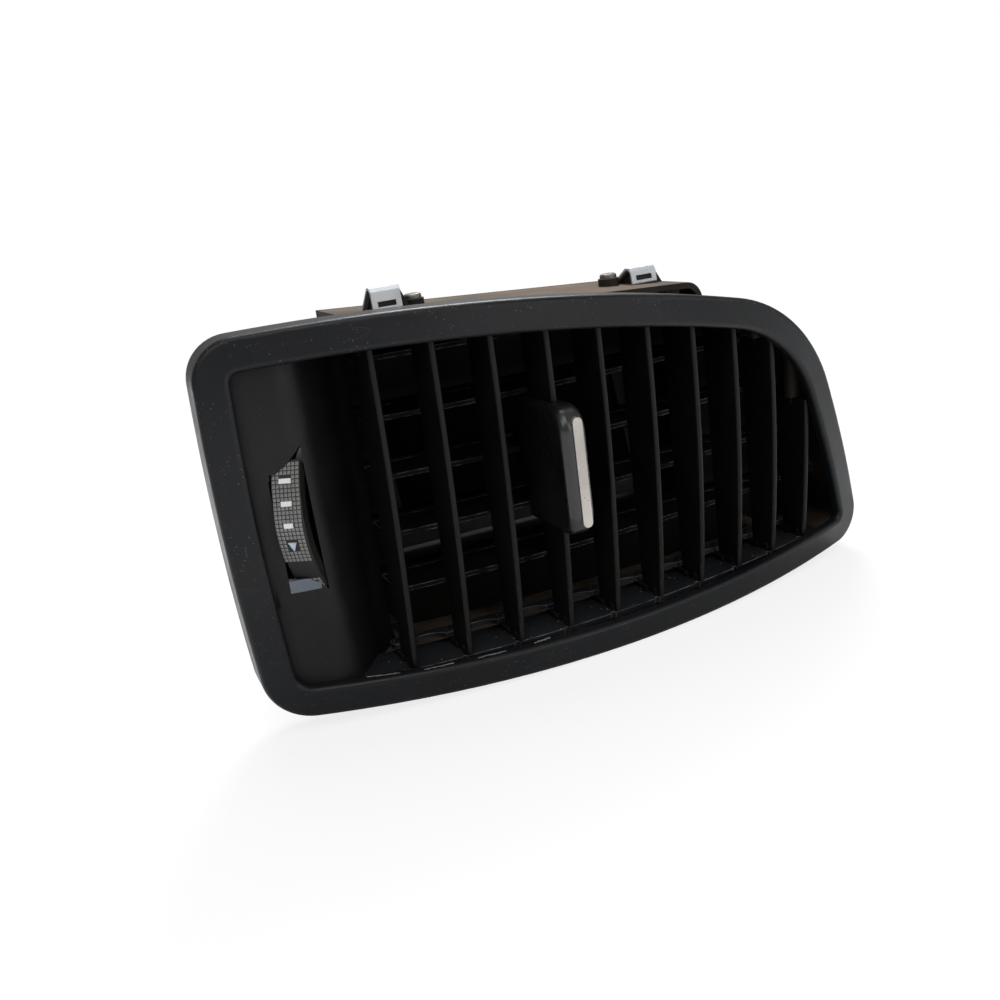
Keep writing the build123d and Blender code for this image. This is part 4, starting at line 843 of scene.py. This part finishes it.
@dataclass
class ScrewHeads:
    """Screws with a cross recess, which replace the plain ones."""

    node: str
    name: str
    upright: bool
    head_radius: float = 2.6 * MM
    head_height: float = 1.5 * MM
    shank_radius: float = 1.0 * MM
    shank: float = 3.7 * MM
    recess: float = 0.9 * MM
    recess_long: float = 1.5 * MM
    recess_wide: float = 0.36 * MM
    recess_taper: float = 0.55
    flat_share: float = 0.62
    dome_share: float = 0.5
    dome_steps: int = 6
    apart: float = 10.4 * MM
    first_spin: float = 25.0
    next_spin: float = 50.0
    segments: int = 40

    def places(self) -> list[Vector]:
        """Middle of each screw head's underside, from the CAD node's separate solids.

        Returns:
            The places in the shared frame.
        """
        axis = 2 if self.upright else 1
        groups: list[list[Vector]] = []
        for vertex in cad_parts[self.node].data.vertices:
            corner = vertex.co
            for group in groups:
                if (corner - group[0]).length < self.apart:
                    group.append(corner)
                    break
            else:
                groups.append([corner])
        found = []
        for group in groups:
            low = Vector(min(corner[index] for corner in group) for index in range(3))
            high = Vector(max(corner[index] for corner in group) for index in range(3))
            place = (low + high) / 2
            place[axis] = high[axis] - self.head_height
            found.append(place)
        return found

    def turned(self, place: Vector) -> Matrix:
        """The frame of one screw, its head along the local Z.

        Args:
            place: Middle of its head's underside.

        Returns:
            The frame.
        """
        tilt = Matrix.Identity(4) if self.upright else Matrix.Rotation(math.radians(-90.0), 4, "X")
        return Matrix.Translation(place) @ tilt

    def profile(self) -> list[tuple[float, float]]:
        """Radius and height down the outside, from the recess to the shank's tip.

        Returns:
            The points of the profile.
        """
        points = []
        for step in range(self.dome_steps + 1):
            angle = math.radians(90.0 * step / self.dome_steps)
            out = self.flat_share + (1 - self.flat_share) * math.sin(angle)
            up = 1 - self.dome_share + self.dome_share * math.cos(angle)
            points.append((self.head_radius * out, self.head_height * up))
        points.append((self.head_radius, 0.0))
        points.append((self.shank_radius, 0.0))
        points.append((self.shank_radius, -self.shank))
        return points

    def cross(self) -> list[tuple[float, float]]:
        """Outline of the recess in the head's plane.

        Returns:
            Its twelve corners, anticlockwise.
        """
        long = self.recess_long
        wide = self.recess_wide
        arm = [(wide, wide), (wide, long), (-wide, long)]
        corners = []
        for quarter in range(4):
            turn = Matrix.Rotation(math.radians(90.0 * quarter), 2)
            for x, y in arm:
                turned = turn @ Vector((x, y))
                corners.append((turned.x, turned.y))
        return corners

    def add_screw(self, mesh: bmesh.types.BMesh, place: Matrix, spin: float) -> None:
        """Add one closed screw to a mesh.

        Args:
            mesh: Mesh that it goes into.
            place: Its frame.
            spin: How far it is turned.
        """
        where = place @ Matrix.Rotation(spin, 4, "Z")
        rings = []
        for radius, height in self.profile():
            ring = []
            for index in range(self.segments):
                angle = 2 * math.pi * index / self.segments
                point = Vector((radius * math.cos(angle), radius * math.sin(angle), height))
                ring.append(mesh.verts.new(where @ point))
            rings.append(ring)
        for upper, lower in zip(rings, rings[1:]):
            close_ring(mesh, upper, lower)
        mesh.faces.new(rings[-1])
        top = self.head_height
        taper = self.recess_taper
        floor = top - self.recess
        rim = [mesh.verts.new(where @ Vector((x, y, top))) for x, y in self.cross()]
        deep = [mesh.verts.new(where @ Vector((x * taper, y * taper, floor))) for x, y in self.cross()]
        close_ring(mesh, rim, deep)
        mesh.faces.new(deep)
        edges = []
        for loop in (rings[0], rim):
            for index, vertex in enumerate(loop):
                other = loop[(index + 1) % len(loop)]
                edges.append(mesh.edges.get((vertex, other)) or mesh.edges.new((vertex, other)))
        bmesh.ops.triangle_fill(mesh, use_beauty=True, use_dissolve=False, edges=edges)

    def build(self, finishes: Finishes) -> None:
        """Build the screws in place of the node's.

        Args:
            finishes: Where the materials come from.
        """
        mesh = bmesh.new()
        for index, place in enumerate(self.places()):
            self.add_screw(mesh, self.turned(place), math.radians(self.first_spin + self.next_spin * index))
        finishes.dress(self.node, SCREW_METAL)
        screws = add_piece(self.name, mesh, "frame", finishes.get(SCREW_METAL))
        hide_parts(self.node)


@dataclass
class AirwayDust:
    """Crumbs of dirt that lie on the airway's floor and in the panel's corner."""

    count: int = 90
    smallest: float = 0.12 * MM
    largest: float = 0.45 * MM
    tries: int = 8
    above: float = 10.0 * MM
    least_upward: float = 0.9
    width_change: Span = (0.6, 1.3)
    height_change: Span = (0.3, 0.7)
    ragged: float = 0.2
    seed: int = 7

    def build(self, finishes: Finishes) -> None:
        """Scatter the crumbs on the lower carrier.

        Args:
            finishes: Where the materials come from.
        """
        draw = random.Random(self.seed)
        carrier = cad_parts["lower_carrier"]
        low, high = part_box("lower_carrier")
        mesh = bmesh.new()
        placed = 0
        for _ in range(self.count * self.tries):
            x = draw.uniform(low.x, high.x)
            y = draw.uniform(low.y, high.y)
            size = draw.uniform(self.smallest, self.largest)
            start = Vector((x, y, high.z + self.above))
            hit, point, normal, _ = carrier.ray_cast(start, Vector((0.0, 0.0, -1.0)))
            if not hit or normal.z < self.least_upward or placed >= self.count:
                continue
            changes = (self.width_change, self.width_change, self.height_change)
            spread = Vector([draw.uniform(*change) for change in changes]) * size
            spin = Matrix.Rotation(draw.uniform(0.0, math.pi), 4, "Z")
            shape = Matrix.Translation(point) @ spin @ Matrix.Diagonal((*spread, 1.0))
            made = bmesh.ops.create_icosphere(mesh, subdivisions=1, radius=1.0, matrix=shape)
            for vertex in made["verts"]:
                vertex.co += Vector([draw.uniform(-1, 1) for _ in range(3)]) * size * self.ragged
            placed += 1
        add_piece("airway_crumbs", mesh, "frame", finishes.get(HOUSING_BROWN))


@dataclass
class FaceFrame:
    """Bezel, control panel and the small block under the wheel's slot."""

    def build(self, finishes: Finishes) -> None:
        """Dress the face's pieces.

        Args:
            finishes: Where the materials come from.
        """
        finishes.dress("bezel", BEZEL_PAINT)
        finishes.dress("control_panel", PANEL_BLACK)
        finishes.dress("indicator_block", BLOCK_BLUE)


@dataclass
class Vanes:
    """Upright and level vanes with their link bars and the airway's floor."""

    upright: int = 10
    level: int = 5

    def build(self, finishes: Finishes) -> None:
        """Dress the vanes and what holds them.

        Args:
            finishes: Where the materials come from.
        """
        for number in range(1, self.upright + 1):
            finishes.dress(f"vertical_vane_{number:02d}", VANE_BLACK)
        for row in range(1, self.level + 1):
            finishes.dress(f"horizontal_vane_{row}", LEVEL_BLACK)
        finishes.dress("vertical_link_bar", FLOOR_BLACK)
        finishes.dress("horizontal_link_bar", DUCT_BLACK)
        finishes.dress("lower_carrier", FLOOR_BLACK)


@dataclass
class Knob:
    """The sliding knob with its bright strip."""

    def build(self, finishes: Finishes) -> None:
        """Dress the knob's pieces.

        Args:
            finishes: Where the materials come from.
        """
        finishes.dress("knob_body", KNOB_BLACK)
        finishes.dress("knob_insert", TRIM_BRIGHT)
        finishes.dress("knob_fork", VANE_BLACK)


@dataclass
class Duct:
    """Housing, back plate with the square duct, damper, wheel's bracket, clips and gasket."""

    clips: tuple[str, ...] = ("top_clip_left", "top_clip_right", "bottom_clip_left", "bottom_clip_right")

    def build(self, finishes: Finishes) -> None:
        """Dress what lies behind the face.

        Args:
            finishes: Where the materials come from.
        """
        finishes.dress("front_housing", HOUSING_BROWN)
        finishes.dress("rear_housing", DUCT_BLACK)
        finishes.dress("damper_flap", DAMPER_BLACK)
        finishes.dress("damper_seal", FOAM_GREY)
        finishes.dress("damper_rod", DUCT_BLACK)
        finishes.dress("inlet_gasket", FOAM_GREY)
        finishes.dress("wheel_bracket", DUCT_BLACK)
        finishes.dress("wheel_axle", SCREW_METAL)
        for clip in self.clips:
            finishes.dress(clip, CLIP_STEEL)


@dataclass(frozen=True)
class Lamp:
    """A soft square lamp that shines at the object's middle, with places in metres."""

    name: str
    place: Colour
    size: float
    watts: float
    tint: Colour = (1.0, 1.0, 1.0)

    def hang(self) -> None:
        """Add the lamp to the scene."""
        data = bpy.data.lights.new(self.name, "AREA")
        data.shape = "SQUARE"
        data.size = self.size
        data.energy = self.watts
        data.color = self.tint
        lamp = bpy.data.objects.new(self.name, data)
        lamp.location = self.place
        lamp.rotation_mode = "QUATERNION"
        lamp.rotation_quaternion = (-Vector(self.place)).to_track_quat("-Z", "Y")
        bpy.context.scene.collection.objects.link(lamp)


LAMPS = (
    Lamp("lamp_above", (0.1, 0.35, 1.0), 0.7, 7.0),
    Lamp("lamp_front_top", (-0.15, -0.75, 0.95), 0.7, 4.5, (1.0, 0.99, 0.98)),
    Lamp("lamp_front_left", (-0.9, -0.75, 0.75), 0.6, 3.0, (1.0, 0.99, 0.97)),
    Lamp("lamp_right", (1.0, -0.5, 0.45), 0.6, 1.6, (0.93, 0.96, 1.0)),
    Lamp("lamp_front", (0.5, -1.0, 0.3), 0.6, 2.4, (1.0, 0.98, 0.96)),
    Lamp("lamp_back", (0.42, 0.75, 0.95), 0.45, 10.0, (0.96, 0.98, 1.0)),
)


@dataclass
class Studio:
    """Camera at the photo's angle, pale floor and soft lamps."""

    eye: Vector = field(default_factory=lambda: Vector((-136.1, -262.3, 83.0)) * MM)
    ahead: Vector = field(default_factory=lambda: Vector((0.342, 0.8975, -0.2786)))
    up: Vector = field(default_factory=lambda: Vector((0.2228, 0.2106, 0.9519)))
    lens: float = 38.46
    sensor: float = 36.0
    clip: Span = (0.01, 100.0)
    floor_size: float = 30.0
    floor_gap: float = 0.2 * MM
    floor_grey: float = 0.86
    floor_roughness: float = 0.9
    floor_specular: float = 0.1
    far_span: Span = (0.25, 0.75)
    near_white: float = 0.8
    room_light: float = 0.32

    def camera(self) -> None:
        """Place the camera."""
        data = bpy.data.cameras.new("camera")
        data.sensor_width = self.sensor
        data.lens = self.lens
        data.clip_start, data.clip_end = self.clip
        camera = bpy.data.objects.new("camera", data)
        bpy.context.scene.collection.objects.link(camera)
        ahead = self.ahead.normalized()
        right = ahead.cross(self.up).normalized()
        up = right.cross(ahead)
        turn = Matrix((right, up, -ahead)).transposed()
        camera.matrix_world = Matrix.Translation(self.eye) @ turn.to_4x4()
        bpy.context.scene.camera = camera

    def floor(self) -> None:
        """A large pale floor under the object, plain white to the camera except for the shadow."""
        height = CAD_BOX[0][2] - self.floor_gap
        half = self.floor_size / 2
        mesh = bmesh.new()
        mesh.faces.new([mesh.verts.new((x * half, y * half, height)) for x, y in CORNERS])
        data = bpy.data.meshes.new("floor")
        mesh.to_mesh(data)
        mesh.free()
        floor = bpy.data.objects.new("floor", data)
        bpy.context.scene.collection.objects.link(floor)
        data.materials.append(self.floor_white())

    def floor_white(self) -> bpy.types.Material:
        """The floor's finish, whiter to the camera with the distance from the object.

        Returns:
            The material.
        """
        material = bpy.data.materials.new("floor_white")
        material.use_nodes = True
        material.node_tree.nodes.clear()
        nodes = Nodes(material.node_tree)
        grey = self.floor_grey
        paint = nodes.add("ShaderNodeBsdfPrincipled")
        paint.inputs["Base Color"].default_value = (grey, grey, grey, 1)
        paint.inputs["Roughness"].default_value = self.floor_roughness
        paint.inputs["Specular IOR Level"].default_value = self.floor_specular
        glow = nodes.add("ShaderNodeEmission")
        mixed = nodes.add("ShaderNodeMixShader")
        seen = nodes.add("ShaderNodeLightPath").outputs["Is Camera Ray"]
        distance = nodes.add("ShaderNodeVectorMath", operation="LENGTH")
        nodes.join(nodes.add("ShaderNodeNewGeometry").outputs["Position"], distance.inputs[0])
        far = nodes.ramp(distance.outputs["Value"], *self.far_span)
        plain = nodes.math("ADD", self.near_white, nodes.math("MULTIPLY", far, 1 - self.near_white))
        nodes.join(nodes.math("MULTIPLY", seen, plain), mixed.inputs[0])
        nodes.join(paint.outputs[0], mixed.inputs[1])
        nodes.join(glow.outputs[0], mixed.inputs[2])
        nodes.join(mixed.outputs[0], nodes.add("ShaderNodeOutputMaterial").inputs["Surface"])
        return material

    def sky(self) -> None:
        """A plain world, white to the camera and dim as a lamp."""
        world = bpy.data.worlds.new("plain_room")
        world.use_nodes = True
        world.node_tree.nodes.clear()
        nodes = Nodes(world.node_tree)
        seen = nodes.add("ShaderNodeLightPath").outputs["Is Camera Ray"]
        room = nodes.add("ShaderNodeBackground")
        nodes.feed(room.inputs["Color"], (1, 1, 1, 1))
        shown = nodes.math("MULTIPLY", seen, 1 - self.room_light)
        nodes.join(nodes.math("ADD", self.room_light, shown), room.inputs["Strength"])
        nodes.join(room.outputs[0], nodes.add("ShaderNodeOutputWorld").inputs["Surface"])
        bpy.context.scene.world = world

    def build(self) -> None:
        """Set up the camera, the floor, the world and the lamps."""
        self.camera()
        self.floor()
        self.sky()
        for lamp in LAMPS:
            lamp.hang()
        bpy.context.scene.view_settings.view_transform = "Standard"


def main() -> None:
    """Build every sub-assembly in order."""
    logging.basicConfig(level=logging.INFO, format="%(name)s %(message)s")
    finishes = Finishes()
    assemblies = [
        FaceFrame(),
        Thumbwheel(),
        WheelShroud(),
        FloorSeamHighlight(),
        Vanes(),
        Knob(),
        Duct(),
        ScrewHeads(node="clip_screws", name="clip_screws_dressed", upright=True),
        ScrewHeads(node="back_screws", name="back_screws_dressed", upright=False, shank=10.1 * MM),
        AirwayDust(),
    ]
    for assembly in assemblies:
        assembly.build(finishes)
    Studio().build()


if __name__ == "__main__":
    main()
